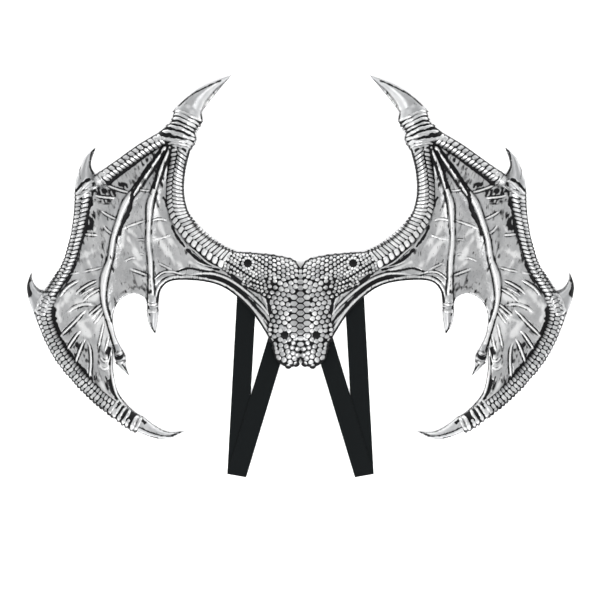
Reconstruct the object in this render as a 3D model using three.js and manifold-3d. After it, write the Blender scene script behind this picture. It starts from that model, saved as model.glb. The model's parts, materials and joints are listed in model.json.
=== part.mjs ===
// Costume dragon wings, in millimetres. One moulded foam shell carries both wings, their claws and the scaled
// body plate between them. Two elastic arm straps are riveted behind the body plate.
// The wings lie on their back: X is the span, +Y points at the top claws, and z = 0 is what they lie on.

import * as THREE from 'three';
import { mergeVertices } from 'three/addons/utils/BufferGeometryUtils.js';
import Module from 'manifold-3d';

const wasm = await Module();
wasm.setup();

// Driving sizes
const WING_SPAN = 740; // between the outermost spurs
const WING_HEIGHT = 492; // from the lowest claw to the tips of the top claws
const WALL = 4; // foam thickness

const ARM_WIDTH = 28; // scaled arm between shoulder and wrist
const ARM_RISE = 13;
const FINGER_WIDTH = 19; // scaled finger along the outer edge
const FINGER_RISE = 9;
const CUFF_RISE = 14; // wrapped bands under the top claw
const CLAW_WIDTH = 35; // top claw at its root
const CLAW_RISE = 11;
const BODY_WIDTH = 78; // scaled plate between the wings
const BODY_RISE = 16;
const RIB_WIDTH = 7; // bare bones across the web
const RIB_RISE = 3.5;
const FOLD_WIDTH = 6; // creases of the web
const FOLD_RISE = 2.2;
const TENT_WIDTH = 34; // strip of web that each bare bone lifts
const TENT_RISE = 4;

const STRAP_WIDTH = 26;
const STRAP_THICKNESS = 1.6;
const STRAP_DROP = 286; // from the upper rivet to the fold
const STRAP_LEAN = 3.1; // degrees that the outer run leans outwards
const STRAP_ASIDE = 7.5; // the inner run's middle passes this far outside the lower rivet
const STRAP_TAB = 12; // strap beyond each rivet
const STRAP_SLOPE = 45; // length in which a strap comes down to the surface

const CAP_DIAMETER = 11; // rivet head on the scaled side
const CAP_HEIGHT = 2.4;
const POST_DIAMETER = 4;
const SOCKET_DIAMETER = 12; // rivet back, against the wearer
const SOCKET_HEIGHT = 2;
const SOCKET_FLOOR = 0.7;
const GAP = 0.3; // between pieces that touch

const DRAPE_NEAR = 95; // the shell is held up by the straps out to here
const DRAPE_FAR = 240; // and lies on the surface from here on

// Mesh steps
const EDGE_STEP = 6.5;
const BONE_STEP = 10;
const FILL_STEP = 17;
const ROUND_SIDES = 16;

const HALF_SPAN = WING_SPAN / 2;
const LIFT = SOCKET_HEIGHT + GAP + STRAP_THICKNESS + GAP; // underside of the body plate
const POST_HOLE = POST_DIAMETER / 2 + GAP;
const SEAT_RADIUS = CAP_DIAMETER / 2 + 1;
const BOSS_RADIUS = SOCKET_DIAMETER / 2 + 1.5;
const BLEND = 3; // width in which a seat or boss meets the foam round it

// Outline of one wing. x and y are shares of half the span and of the height, and a corner ends a smooth
// stretch.
const OUTLINE = [
  { part: 'notch', x: 0, y: 0.470, corner: true },
  { part: 'shoulder', x: 0.024, y: 0.492 },
  { part: 'shoulder', x: 0.086, y: 0.505 },
  { part: 'shoulder', x: 0.188, y: 0.513 },
  { part: 'shoulder', x: 0.252, y: 0.517 },
  { part: 'arm', x: 0.314, y: 0.541 },
  { part: 'arm', x: 0.370, y: 0.574 },
  { part: 'arm', x: 0.408, y: 0.621 },
  { part: 'arm', x: 0.425, y: 0.673 },
  { part: 'arm', x: 0.422, y: 0.733 },
  { part: 'wrist', x: 0.404, y: 0.791, corner: true },
  { part: 'cuff', x: 0.380, y: 0.823 },
  { part: 'cuff', x: 0.385, y: 0.845 },
  { part: 'cuff', x: 0.358, y: 0.873 },
  { part: 'cuff', x: 0.362, y: 0.899, corner: true },
  { part: 'top claw', x: 0.318, y: 0.942 },
  { part: 'top claw tip', x: 0.252, y: 1.000, corner: true },
  { part: 'top claw', x: 0.353, y: 0.969 },
  { part: 'top claw', x: 0.407, y: 0.941 },
  { part: 'cuff', x: 0.460, y: 0.908, corner: true },
  { part: 'cuff', x: 0.473, y: 0.871 },
  { part: 'cuff', x: 0.520, y: 0.842, corner: true },
  { part: 'finger', x: 0.594, y: 0.809 },
  { part: 'finger', x: 0.689, y: 0.758 },
  { part: 'knuckle', x: 0.751, y: 0.726, corner: true },
  { part: 'side claw', x: 0.767, y: 0.755 },
  { part: 'side claw tip', x: 0.749, y: 0.802, corner: true },
  { part: 'side claw', x: 0.791, y: 0.769 },
  { part: 'side claw', x: 0.817, y: 0.718 },
  { part: 'knuckle', x: 0.825, y: 0.679, corner: true },
  { part: 'finger', x: 0.827, y: 0.635 },
  { part: 'finger', x: 0.841, y: 0.558 },
  { part: 'finger', x: 0.872, y: 0.478 },
  { part: 'finger', x: 0.926, y: 0.405, corner: true },
  { part: 'spur', x: 0.959, y: 0.414 },
  { part: 'spur', x: 0.981, y: 0.437 },
  { part: 'spur tip', x: 0.984, y: 0.458, corner: true },
  { part: 'spur', x: 1.000, y: 0.421 },
  { part: 'spur', x: 0.990, y: 0.380 },
  { part: 'spur', x: 0.973, y: 0.345, corner: true },
  { part: 'finger', x: 0.956, y: 0.310 },
  { part: 'finger', x: 0.899, y: 0.223 },
  { part: 'finger', x: 0.790, y: 0.128 },
  { part: 'finger', x: 0.666, y: 0.050 },
  { part: 'low cuff', x: 0.617, y: 0.021, corner: true },
  { part: 'low claw', x: 0.599, y: 0.023, corner: true },
  { part: 'low claw', x: 0.549, y: 0.007 },
  { part: 'low claw', x: 0.493, y: 0.000 },
  { part: 'low claw tip', x: 0.420, y: 0.023, corner: true },
  { part: 'low claw', x: 0.483, y: 0.020 },
  { part: 'low claw', x: 0.534, y: 0.038 },
  { part: 'low cuff', x: 0.574, y: 0.061, corner: true },
  { part: 'low cuff', x: 0.596, y: 0.070 },
  { part: 'web', x: 0.626, y: 0.089 },
  { part: 'web', x: 0.668, y: 0.130 },
  { part: 'web', x: 0.686, y: 0.196 },
  { part: 'web', x: 0.687, y: 0.262, corner: true },
  { part: 'second digit', x: 0.679, y: 0.223, corner: true },
  { part: 'second talon', x: 0.668, y: 0.206 },
  { part: 'second talon tip', x: 0.626, y: 0.174, corner: true },
  { part: 'second talon', x: 0.640, y: 0.203 },
  { part: 'second digit', x: 0.640, y: 0.232, corner: true },
  { part: 'second digit', x: 0.659, y: 0.255 },
  { part: 'web', x: 0.679, y: 0.289 },
  { part: 'web', x: 0.686, y: 0.339 },
  { part: 'web', x: 0.664, y: 0.380 },
  { part: 'web', x: 0.613, y: 0.401 },
  { part: 'web', x: 0.569, y: 0.389 },
  { part: 'first digit', x: 0.560, y: 0.374, corner: true },
  { part: 'first digit', x: 0.560, y: 0.339, corner: true },
  { part: 'first talon', x: 0.552, y: 0.314 },
  { part: 'first talon tip', x: 0.531, y: 0.289, corner: true },
  { part: 'first talon', x: 0.524, y: 0.319 },
  { part: 'first digit', x: 0.520, y: 0.341 },
  { part: 'first digit', x: 0.520, y: 0.374, corner: true },
  { part: 'web', x: 0.511, y: 0.410 },
  { part: 'web', x: 0.482, y: 0.432 },
  { part: 'web', x: 0.398, y: 0.437 },
  { part: 'web', x: 0.288, y: 0.420 },
  { part: 'web', x: 0.191, y: 0.362 },
  { part: 'web', x: 0.100, y: 0.261, corner: true },
  { part: 'lobe', x: 0.091, y: 0.222 },
  { part: 'lobe', x: 0.052, y: 0.199 },
  { part: 'lobe', x: 0.016, y: 0.203 },
  { part: 'notch', x: 0, y: 0.222, corner: true },
];

// Rounded forms over their centre lines. half and rise are shares of the form's named half width and rise.
const FORMS = [
  {
    name: 'arm', width: ARM_WIDTH, rise: ARM_RISE, line: [
      { x: 0, y: 0.424, half: 2.28, rise: 1.1 },
      { x: 0.086, y: 0.459, half: 1.52, rise: 1 },
      { x: 0.188, y: 0.476, half: 1.28, rise: 0.95 },
      { x: 0.268, y: 0.495, half: 1.08, rise: 0.95 },
      { x: 0.341, y: 0.531, half: 1, rise: 1 },
      { x: 0.403, y: 0.574, half: 1, rise: 1 },
      { x: 0.445, y: 0.621, half: 0.95, rise: 1 },
      { x: 0.457, y: 0.673, half: 0.88, rise: 0.95 },
      { x: 0.452, y: 0.733, half: 0.84, rise: 0.9 },
      { x: 0.436, y: 0.797, half: 0.88, rise: 0.9 },
    ],
  },
  {
    name: 'upper finger', width: FINGER_WIDTH, rise: FINGER_RISE, line: [
      { x: 0.501, y: 0.827, half: 0.99, rise: 1 },
      { x: 0.571, y: 0.797, half: 0.96, rise: 0.9 },
      { x: 0.662, y: 0.750, half: 0.9, rise: 0.9 },
      { x: 0.735, y: 0.712, half: 1, rise: 1 },
    ],
  },
  {
    name: 'lower finger', width: FINGER_WIDTH, rise: FINGER_RISE, line: [
      { x: 0.790, y: 0.696, half: 1.42, rise: 1.1 },
      { x: 0.798, y: 0.635, half: 1.14, rise: 1 },
      { x: 0.817, y: 0.558, half: 0.97, rise: 1 },
      { x: 0.852, y: 0.473, half: 0.95, rise: 1 },
      { x: 0.914, y: 0.398, half: 1.02, rise: 1 },
      { x: 0.936, y: 0.350, half: 1.05, rise: 1 },
      { x: 0.922, y: 0.300, half: 1.05, rise: 1 },
      { x: 0.873, y: 0.229, half: 1.07, rise: 1 },
      { x: 0.771, y: 0.138, half: 1.07, rise: 0.95 },
      { x: 0.680, y: 0.080, half: 1.1, rise: 0.95 },
      { x: 0.600, y: 0.045, half: 1.1, rise: 1 },
    ],
  },
  {
    name: 'cuff', width: CLAW_WIDTH, rise: CUFF_RISE, line: [
      { x: 0.447, y: 0.800, half: 1.05, rise: 0.85 },
      { x: 0.447, y: 0.829, half: 1.4, rise: 0.95 },
      { x: 0.425, y: 0.857, half: 1.1, rise: 1 },
      { x: 0.414, y: 0.882, half: 1.18, rise: 0.95 },
      { x: 0.411, y: 0.901, half: 1.06, rise: 0.95 },
    ],
  },
  {
    name: 'top claw', width: CLAW_WIDTH, rise: CLAW_RISE, line: [
      { x: 0.411, y: 0.901, half: 1.04, rise: 1.05 },
      { x: 0.381, y: 0.936, half: 0.8, rise: 1 },
      { x: 0.337, y: 0.964, half: 0.51, rise: 0.75 },
      { x: 0.294, y: 0.983, half: 0.27, rise: 0.45 },
      { x: 0.252, y: 1, half: 0.05, rise: 0.1 },
    ],
  },
  {
    name: 'side claw', width: CLAW_WIDTH, rise: CLAW_RISE, line: [
      { x: 0.790, y: 0.706, half: 0.85, rise: 0.9 },
      { x: 0.787, y: 0.737, half: 0.5, rise: 0.8 },
      { x: 0.774, y: 0.775, half: 0.28, rise: 0.5 },
      { x: 0.749, y: 0.802, half: 0.05, rise: 0.1 },
    ],
  },
  {
    name: 'spur', width: CLAW_WIDTH, rise: CLAW_RISE, line: [
      { x: 0.950, y: 0.374, half: 0.93, rise: 0.8 },
      { x: 0.974, y: 0.396, half: 0.54, rise: 0.75 },
      { x: 0.988, y: 0.426, half: 0.23, rise: 0.45 },
      { x: 0.984, y: 0.458, half: 0.05, rise: 0.1 },
    ],
  },
  {
    name: 'low claw', width: CLAW_WIDTH, rise: CLAW_RISE, line: [
      { x: 0.587, y: 0.042, half: 0.62, rise: 0.85 },
      { x: 0.542, y: 0.022, half: 0.46, rise: 0.75 },
      { x: 0.494, y: 0.011, half: 0.3, rise: 0.6 },
      { x: 0.454, y: 0.014, half: 0.18, rise: 0.35 },
      { x: 0.420, y: 0.023, half: 0.04, rise: 0.1 },
    ],
  },
  {
    name: 'first talon', width: CLAW_WIDTH, rise: CLAW_RISE, line: [
      { x: 0.541, y: 0.385, half: 0.38, rise: 0.45 },
      { x: 0.540, y: 0.339, half: 0.44, rise: 0.6 },
      { x: 0.538, y: 0.314, half: 0.28, rise: 0.45 },
      { x: 0.531, y: 0.289, half: 0.04, rise: 0.1 },
    ],
  },
  {
    name: 'second talon', width: CLAW_WIDTH, rise: CLAW_RISE, line: [
      { x: 0.666, y: 0.250, half: 0.38, rise: 0.45 },
      { x: 0.656, y: 0.212, half: 0.42, rise: 0.6 },
      { x: 0.645, y: 0.194, half: 0.25, rise: 0.45 },
      { x: 0.626, y: 0.174, half: 0.04, rise: 0.1 },
    ],
  },
  {
    name: 'body', width: BODY_WIDTH, rise: BODY_RISE, line: [
      { x: 0, y: 0.445, half: 0.62, rise: 0.85 },
      { x: 0, y: 0.410, half: 0.9, rise: 1 },
      { x: 0, y: 0.360, half: 1, rise: 1 },
      { x: 0, y: 0.310, half: 0.97, rise: 0.95 },
    ],
  },
  {
    name: 'lobe', width: BODY_WIDTH, rise: BODY_RISE, line: [
      { x: 0.045, y: 0.330, half: 0.62, rise: 0.85 },
      { x: 0.050, y: 0.275, half: 0.64, rise: 0.9 },
      { x: 0.052, y: 0.240, half: 0.58, rise: 0.8 },
    ],
  },
];

// Bare bones. They stand on the web as solid ridges and lift it into a tent.
const RIBS = [
  {
    name: 'first rib', line: [
      { x: 0.476, y: 0.799, half: 0.63, rise: 1 },
      { x: 0.510, y: 0.736, half: 0.77, rise: 1 },
      { x: 0.538, y: 0.673, half: 1, rise: 1 },
      { x: 0.548, y: 0.647, half: 1.3, rise: 1.3 },
      { x: 0.553, y: 0.595, half: 0.95, rise: 1 },
      { x: 0.555, y: 0.542, half: 0.86, rise: 1 },
      { x: 0.548, y: 0.490, half: 1, rise: 1.1 },
      { x: 0.546, y: 0.437, half: 1, rise: 1 },
      { x: 0.543, y: 0.380, half: 1.5, rise: 1.1 },
    ],
  },
  {
    name: 'second rib', line: [
      { x: 0.494, y: 0.799, half: 0.86, rise: 1 },
      { x: 0.545, y: 0.747, half: 1, rise: 1 },
      { x: 0.593, y: 0.694, half: 1.09, rise: 1.1 },
      { x: 0.635, y: 0.652, half: 1.4, rise: 1.4 },
      { x: 0.663, y: 0.600, half: 1.09, rise: 1.1 },
      { x: 0.684, y: 0.548, half: 1, rise: 1 },
      { x: 0.695, y: 0.495, half: 1.09, rise: 1.1 },
      { x: 0.716, y: 0.443, half: 1.5, rise: 1.5 },
      { x: 0.719, y: 0.383, half: 0.9, rise: 1 },
      { x: 0.705, y: 0.336, half: 0.8, rise: 1 },
      { x: 0.682, y: 0.287, half: 1, rise: 1 },
      { x: 0.662, y: 0.240, half: 1.5, rise: 1 },
    ],
  },
];

// Creases of the web, each from (x0, y0) over (x1, y1) to (x2, y2). A negative rise is a furrow.
const FOLDS = [
  { x0: 0.716, y0: 0.701, x1: 0.666, y1: 0.685, x2: 0.618, y2: 0.679, rise: 0.9 },
  { x0: 0.754, y0: 0.669, x1: 0.717, y1: 0.665, x2: 0.677, y2: 0.664, rise: 0.8 },
  { x0: 0.730, y0: 0.626, x1: 0.702, y1: 0.614, x2: 0.665, y2: 0.604, rise: 0.7 },
  { x0: 0.593, y0: 0.686, x1: 0.573, y1: 0.684, x2: 0.552, y2: 0.681, rise: 0.7 },
  { x0: 0.556, y0: 0.600, x1: 0.611, y1: 0.591, x2: 0.663, y2: 0.579, rise: 0.7 },
  { x0: 0.549, y0: 0.601, x1: 0.512, y1: 0.605, x2: 0.482, y2: 0.600, rise: 0.6 },
  { x0: 0.549, y0: 0.549, x1: 0.512, y1: 0.553, x2: 0.468, y2: 0.563, rise: 0.7 },
  { x0: 0.845, y0: 0.458, x1: 0.782, y1: 0.465, x2: 0.716, y2: 0.477, rise: 0.9 },
  { x0: 0.884, y0: 0.388, x1: 0.855, y1: 0.415, x2: 0.804, y2: 0.440, rise: 0.9 },
  { x0: 0.822, y0: 0.407, x1: 0.768, y1: 0.424, x2: 0.722, y2: 0.432, rise: 1 },
  { x0: 0.887, y0: 0.276, x1: 0.815, y1: 0.330, x2: 0.724, y2: 0.376, rise: 1.2 },
  { x0: 0.858, y0: 0.242, x1: 0.790, y1: 0.310, x2: 0.715, y2: 0.361, rise: 1.2 },
  { x0: 0.827, y0: 0.200, x1: 0.785, y1: 0.280, x2: 0.722, y2: 0.345, rise: 1.2 },
  { x0: 0.775, y0: 0.152, x1: 0.778, y1: 0.215, x2: 0.755, y2: 0.275, rise: 1.1 },
  { x0: 0.740, y0: 0.232, x1: 0.728, y1: 0.287, x2: 0.712, y2: 0.335, rise: 1 },
  { x0: 0.104, y0: 0.318, x1: 0.200, y1: 0.418, x2: 0.366, y2: 0.455, rise: 0.9 },
  { x0: 0.420, y0: 0.470, x1: 0.340, y1: 0.474, x2: 0.262, y2: 0.452, rise: 0.8 },
  { x0: 0.640, y0: 0.470, x1: 0.607, y1: 0.480, x2: 0.566, y2: 0.462, rise: 0.8 },
];

// Rivets, as shares like the outline's.
const RIVETS = {
  upper: { x: 0.191, y: 0.483 },
  lower: { x: 0.058, y: 0.287 },
};

const wingX = (share) => share * HALF_SPAN;
const wingY = (share) => share * WING_HEIGHT;
const smooth = (t) => {
  const c = Math.min(1, Math.max(0, t));
  return c * c * (3 - 2 * c);
};

// A centre line as short straight pieces that know their half width and rise.
function lineOf(rows, width, rise) {
  const shapePoints = rows.map((r) => new THREE.Vector3(wingX(r.x), wingY(r.y), (r.half * width) / 2));
  const curve = new THREE.CatmullRomCurve3(shapePoints, false, 'centripetal');
  const count = Math.max(4, Math.round(curve.getLength() / BONE_STEP));
  const points = [];
  for (let i = 0; i <= count; i++) {
    const t = curve.getUtoTmapping(i / count);
    const p = curve.getPoint(t);
    const at = t * (rows.length - 1);
    const row = Math.min(rows.length - 2, Math.floor(at));
    const share = THREE.MathUtils.lerp(rows[row].rise, rows[row + 1].rise, at - row);
    points.push({ x: p.x, y: p.y, half: Math.max(p.z, 0.1), rise: share * rise });
  }
  return points;
}

const forms = FORMS.map((f) => ({ name: f.name, points: lineOf(f.line, f.width, f.rise) }));
const ribs = RIBS.map((r) => ({ name: r.name, points: lineOf(r.line, RIB_WIDTH, RIB_RISE) }));
const folds = FOLDS.map((f) => ({
  name: 'fold',
  points: lineOf(
    [
      { x: f.x0, y: f.y0, half: 0.6, rise: f.rise * 0.3 },
      { x: f.x1, y: f.y1, half: 1, rise: f.rise },
      { x: f.x2, y: f.y2, half: 0.8, rise: f.rise * 0.8 },
    ],
    FOLD_WIDTH,
    FOLD_RISE,
  ),
}));
const rivets = Object.fromEntries(
  Object.entries(RIVETS).map(([name, r]) => [name, new THREE.Vector2(wingX(r.x), wingY(r.y))]),
);

// Distance from (x, y) to a line, as a share of the half width there, and the rise there.
function nearest(points, x, y) {
  let best = { share: Infinity, distance: Infinity, rise: 0 };
  for (let i = 0; i + 1 < points.length; i++) {
    const a = points[i];
    const b = points[i + 1];
    const dx = b.x - a.x;
    const dy = b.y - a.y;
    const t = Math.min(1, Math.max(0, ((x - a.x) * dx + (y - a.y) * dy) / (dx * dx + dy * dy)));
    const distance = Math.hypot(x - a.x - t * dx, y - a.y - t * dy);
    const share = distance / (a.half + t * (b.half - a.half));
    if (share < best.share) best = { share, distance, rise: a.rise + t * (b.rise - a.rise) };
  }
  return best;
}

const arch = (share) => Math.max(0, 1 - share * share);

// Height that the big hollow forms and the tents over the ribs add to the flat foam.
function formRise(x, y) {
  let rise = 0;
  for (const form of forms) {
    const near = nearest(form.points, x, y);
    rise = Math.max(rise, near.rise * arch(near.share));
  }
  for (const rib of ribs) {
    const near = nearest(rib.points, x, y);
    rise = Math.max(rise, TENT_RISE * Math.max(0, 1 - near.distance / (TENT_WIDTH / 2)) ** 2);
  }
  return rise;
}

// Height that the solid ribs and folds add on the scaled side only.
function ridgeRise(x, y) {
  let rise = 0;
  for (const ridge of [...ribs, ...folds]) {
    const near = nearest(ridge.points, x, y);
    const height = near.rise * arch(near.share);
    if (Math.abs(height) > Math.abs(rise)) rise = height;
  }
  return rise;
}

// Underside of flat foam: held up by the straps near the middle, lying on the surface further out.
const drape = (x) => LIFT * (1 - smooth((Math.abs(x) - DRAPE_NEAR) / (DRAPE_FAR - DRAPE_NEAR)));

// Foam top on a rivet's flat seat, which the cap sits on.
const seatTop = (centre) => drape(centre.x) + WALL + formRise(centre.x, centre.y);

function topHeight(x, y) {
  let top = drape(x) + WALL + formRise(x, y) + ridgeRise(x, y);
  for (const centre of Object.values(rivets)) {
    const away = Math.hypot(x - centre.x, y - centre.y);
    top = THREE.MathUtils.lerp(seatTop(centre), top, smooth((away - SEAT_RADIUS) / BLEND));
  }
  return top;
}

// The back follows the big forms, and is solid down to the strap round each rivet.
function undersideHeight(x, y) {
  let hollow = formRise(x, y);
  for (const centre of Object.values(rivets)) {
    const away = Math.hypot(x - centre.x, y - centre.y);
    hollow *= smooth((away - BOSS_RADIUS) / BLEND);
  }
  return drape(x) + hollow;
}

// The outline of the half at x >= 0, as a closed loop with even steps between its corners.
function outlineLoop() {
  const loop = [];
  let run = [OUTLINE[0]];
  for (const row of OUTLINE.slice(1)) {
    run.push(row);
    if (!row.corner) continue;
    const curve = new THREE.CatmullRomCurve3(
      run.map((r) => new THREE.Vector3(wingX(r.x), wingY(r.y), 0)),
      false,
      'centripetal',
    );
    const steps = Math.max(1, Math.round(curve.getLength() / EDGE_STEP));
    for (let i = 0; i < steps; i++) {
      const p = curve.getPointAt(i / steps);
      loop.push(new THREE.Vector2(p.x, p.y));
    }
    run = [row];
  }
  const top = loop[0];
  const bottom = new THREE.Vector2(wingX(run[0].x), wingY(run[0].y));
  const steps = Math.round(top.distanceTo(bottom) / EDGE_STEP);
  for (let i = 0; i < steps; i++) loop.push(bottom.clone().lerp(top, i / steps));
  return loop;
}

function insideLoop(loop, x, y) {
  let inside = false;
  for (let i = 0, j = loop.length - 1; i < loop.length; j = i++) {
    const a = loop[i];
    const b = loop[j];
    if (a.y > y !== b.y > y && x < ((b.x - a.x) * (y - a.y)) / (b.y - a.y) + a.x) inside = !inside;
  }
  return inside;
}

function distanceToLoop(loop, x, y) {
  let best = Infinity;
  for (let i = 0, j = loop.length - 1; i < loop.length; j = i++) {
    const a = loop[j];
    const b = loop[i];
    const dx = b.x - a.x;
    const dy = b.y - a.y;
    const t = Math.min(1, Math.max(0, ((x - a.x) * dx + (y - a.y) * dy) / (dx * dx + dy * dy)));
    best = Math.min(best, Math.hypot(x - a.x - t * dx, y - a.y - t * dy));
  }
  return best;
}

// The points that carry the shell's shape: outline, rivet rings, centre lines and flanks, then an even fill.
function shellPoints(loop) {
  const points = loop.map((p) => ({ x: p.x, y: p.y }));
  const add = (x, y, apart, fromEdge) => {
    if (x < fromEdge / 2 || !insideLoop(loop, x, y) || distanceToLoop(loop, x, y) < fromEdge) return;
    if (points.some((p) => Math.hypot(p.x - x, p.y - y) < apart)) return;
    points.push({ x, y });
  };
  for (const centre of Object.values(rivets)) {
    for (const radius of [POST_HOLE, SEAT_RADIUS, BOSS_RADIUS + BLEND]) {
      for (let i = 0; i < ROUND_SIDES; i++) {
        const angle = (2 * Math.PI * i) / ROUND_SIDES;
        add(centre.x + radius * Math.cos(angle), centre.y + radius * Math.sin(angle), 0.1, EDGE_STEP / 4);
      }
    }
  }
  const clearOfRivets = (x, y) =>
    Object.values(rivets).every((c) => Math.hypot(x - c.x, y - c.y) > BOSS_RADIUS + BLEND);
  const addLine = (line, offsets, apart) => {
    for (const offset of offsets) {
      for (let i = 0; i < line.length; i++) {
        const a = line[Math.max(0, i - 1)];
        const b = line[Math.min(line.length - 1, i + 1)];
        const length = Math.hypot(b.x - a.x, b.y - a.y);
        const x = line[i].x - ((b.y - a.y) / length) * line[i].half * offset;
        const y = line[i].y + ((b.x - a.x) / length) * line[i].half * offset;
        if (clearOfRivets(x, y)) add(x, y, apart, EDGE_STEP / 2);
      }
    }
  };
  for (const rib of ribs) addLine(rib.points, [0, 1, -1], RIB_WIDTH / 3);
  for (const form of forms) addLine(form.points, [0, 0.6, -0.6, 1, -1], EDGE_STEP / 2);
  for (const fold of folds) addLine(fold.points, [0, 1, -1], FOLD_WIDTH / 2.5);
  const rows = Math.ceil(WING_HEIGHT / FILL_STEP);
  const columns = Math.ceil(HALF_SPAN / FILL_STEP);
  for (let row = 0; row < rows; row++) {
    for (let column = 0; column < columns; column++) {
      const x = (column + (row % 2 ? 0.75 : 0.25)) * FILL_STEP;
      const y = (row + 0.5) * FILL_STEP;
      if (clearOfRivets(x, y)) add(x, y, FILL_STEP * 0.62, EDGE_STEP / 2);
    }
  }
  return points;
}

const doubleArea = (p, q, r) => (q.x - p.x) * (r.y - p.y) - (q.y - p.y) * (r.x - p.x);

// The edges that only one of the triangles has, each in that triangle's direction.
function openEdges(triangles) {
  const edges = new Map();
  for (const [a, b, c] of triangles) {
    for (const [from, to] of [[a, b], [b, c], [c, a]]) {
      const back = `${to},${from}`;
      if (edges.has(back)) edges.delete(back);
      else edges.set(`${from},${to}`, [from, to]);
    }
  }
  return edges.values();
}

// Delaunay triangles of the points, each facing up.
function triangulate(points) {
  const far = 50 * (WING_SPAN + WING_HEIGHT);
  const all = [...points, { x: -far, y: -far }, { x: far, y: -far }, { x: 0, y: far }];
  const n = points.length;
  const circled = (a, b, c) => {
    const [p, q, r] = [all[a], all[b], all[c]];
    const bx = q.x - p.x;
    const by = q.y - p.y;
    const cx = r.x - p.x;
    const cy = r.y - p.y;
    const d = 2 * (bx * cy - by * cx);
    const ux = (cy * (bx * bx + by * by) - by * (cx * cx + cy * cy)) / d;
    const uy = (bx * (cx * cx + cy * cy) - cx * (bx * bx + by * by)) / d;
    return { a, b, c, x: p.x + ux, y: p.y + uy, square: ux * ux + uy * uy };
  };
  let triangles = [circled(n, n + 1, n + 2)];
  for (let i = 0; i < n; i++) {
    const p = points[i];
    const reaches = (t) => (p.x - t.x) ** 2 + (p.y - t.y) ** 2 < t.square * (1 - 1e-12);
    const kept = triangles.filter((t) => !reaches(t));
    for (const [from, to] of openEdges(triangles.filter(reaches).map((t) => [t.a, t.b, t.c]))) {
      if (Math.abs(doubleArea(all[from], all[to], p)) > 1e-9) kept.push(circled(from, to, i));
    }
    triangles = kept;
  }
  return triangles.filter((t) => t.a < n && t.b < n && t.c < n).map((t) => [t.a, t.b, t.c]);
}

// Triangles of one half that lie in the foam: inside the outline and outside the post holes.
function foamTriangles(points, loop) {
  return triangulate(points).filter(([a, b, c]) => {
    const x = (points[a].x + points[b].x + points[c].x) / 3;
    const y = (points[a].y + points[b].y + points[c].y) / 3;
    const sliver = doubleArea(points[a], points[b], points[c]) < 1e-4;
    const inHole = Object.values(rivets).some((r) => Math.hypot(x - r.x, y - r.y) < POST_HOLE);
    return !sliver && !inHole && insideLoop(loop, x, y);
  });
}

// The moulded shell: the triangles of both halves as a top and an underside, with a wall round every edge.
function shellGeometry() {
  const loop = outlineLoop();
  const half = shellPoints(loop);
  const halfTriangles = foamTriangles(half, loop);
  const points = half.map((p) => ({ ...p }));
  const mirrored = half.map((p, i) => (p.x < 1e-6 ? i : points.push({ x: -p.x, y: p.y }) - 1));
  const otherTriangles = halfTriangles.map(([a, b, c]) => [mirrored[a], mirrored[c], mirrored[b]]);
  const triangles = [...halfTriangles, ...otherTriangles];

  const count = points.length;
  const position = [];
  for (const p of points) position.push(p.x, p.y, topHeight(Math.abs(p.x), p.y));
  for (const p of points) position.push(p.x, p.y, undersideHeight(Math.abs(p.x), p.y));
  const index = [];
  for (const [a, b, c] of triangles) index.push(a, b, c, a + count, c + count, b + count);
  for (const [from, to] of openEdges(triangles)) {
    index.push(from, from + count, to, to, from + count, to + count);
  }
  const geometry = new THREE.BufferGeometry();
  geometry.setAttribute('position', new THREE.Float32BufferAttribute(position, 3));
  geometry.setIndex(index);
  return geometry;
}

// A flat strap as a loft of rectangles. Each section is its middle, its half width and its half thickness.
function ribbonGeometry(sections) {
  const position = [];
  for (const { middle, across, out } of sections) {
    for (const [u, v] of [[-1, -1], [1, -1], [1, 1], [-1, 1]]) {
      const p = middle.clone().addScaledVector(across, u).addScaledVector(out, v);
      position.push(p.x, p.y, p.z);
    }
  }
  const index = [0, 2, 1, 0, 3, 2];
  for (let s = 0; s + 1 < sections.length; s++) {
    for (let side = 0; side < 4; side++) {
      const a = s * 4 + side;
      const b = s * 4 + ((side + 1) % 4);
      index.push(a, b, b + 4, a, b + 4, a + 4);
    }
  }
  const end = (sections.length - 1) * 4;
  index.push(end, end + 1, end + 2, end, end + 2, end + 3);
  const geometry = new THREE.BufferGeometry();
  geometry.setAttribute('position', new THREE.Float32BufferAttribute(position, 3));
  geometry.setIndex(index);
  return geometry;
}

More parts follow.
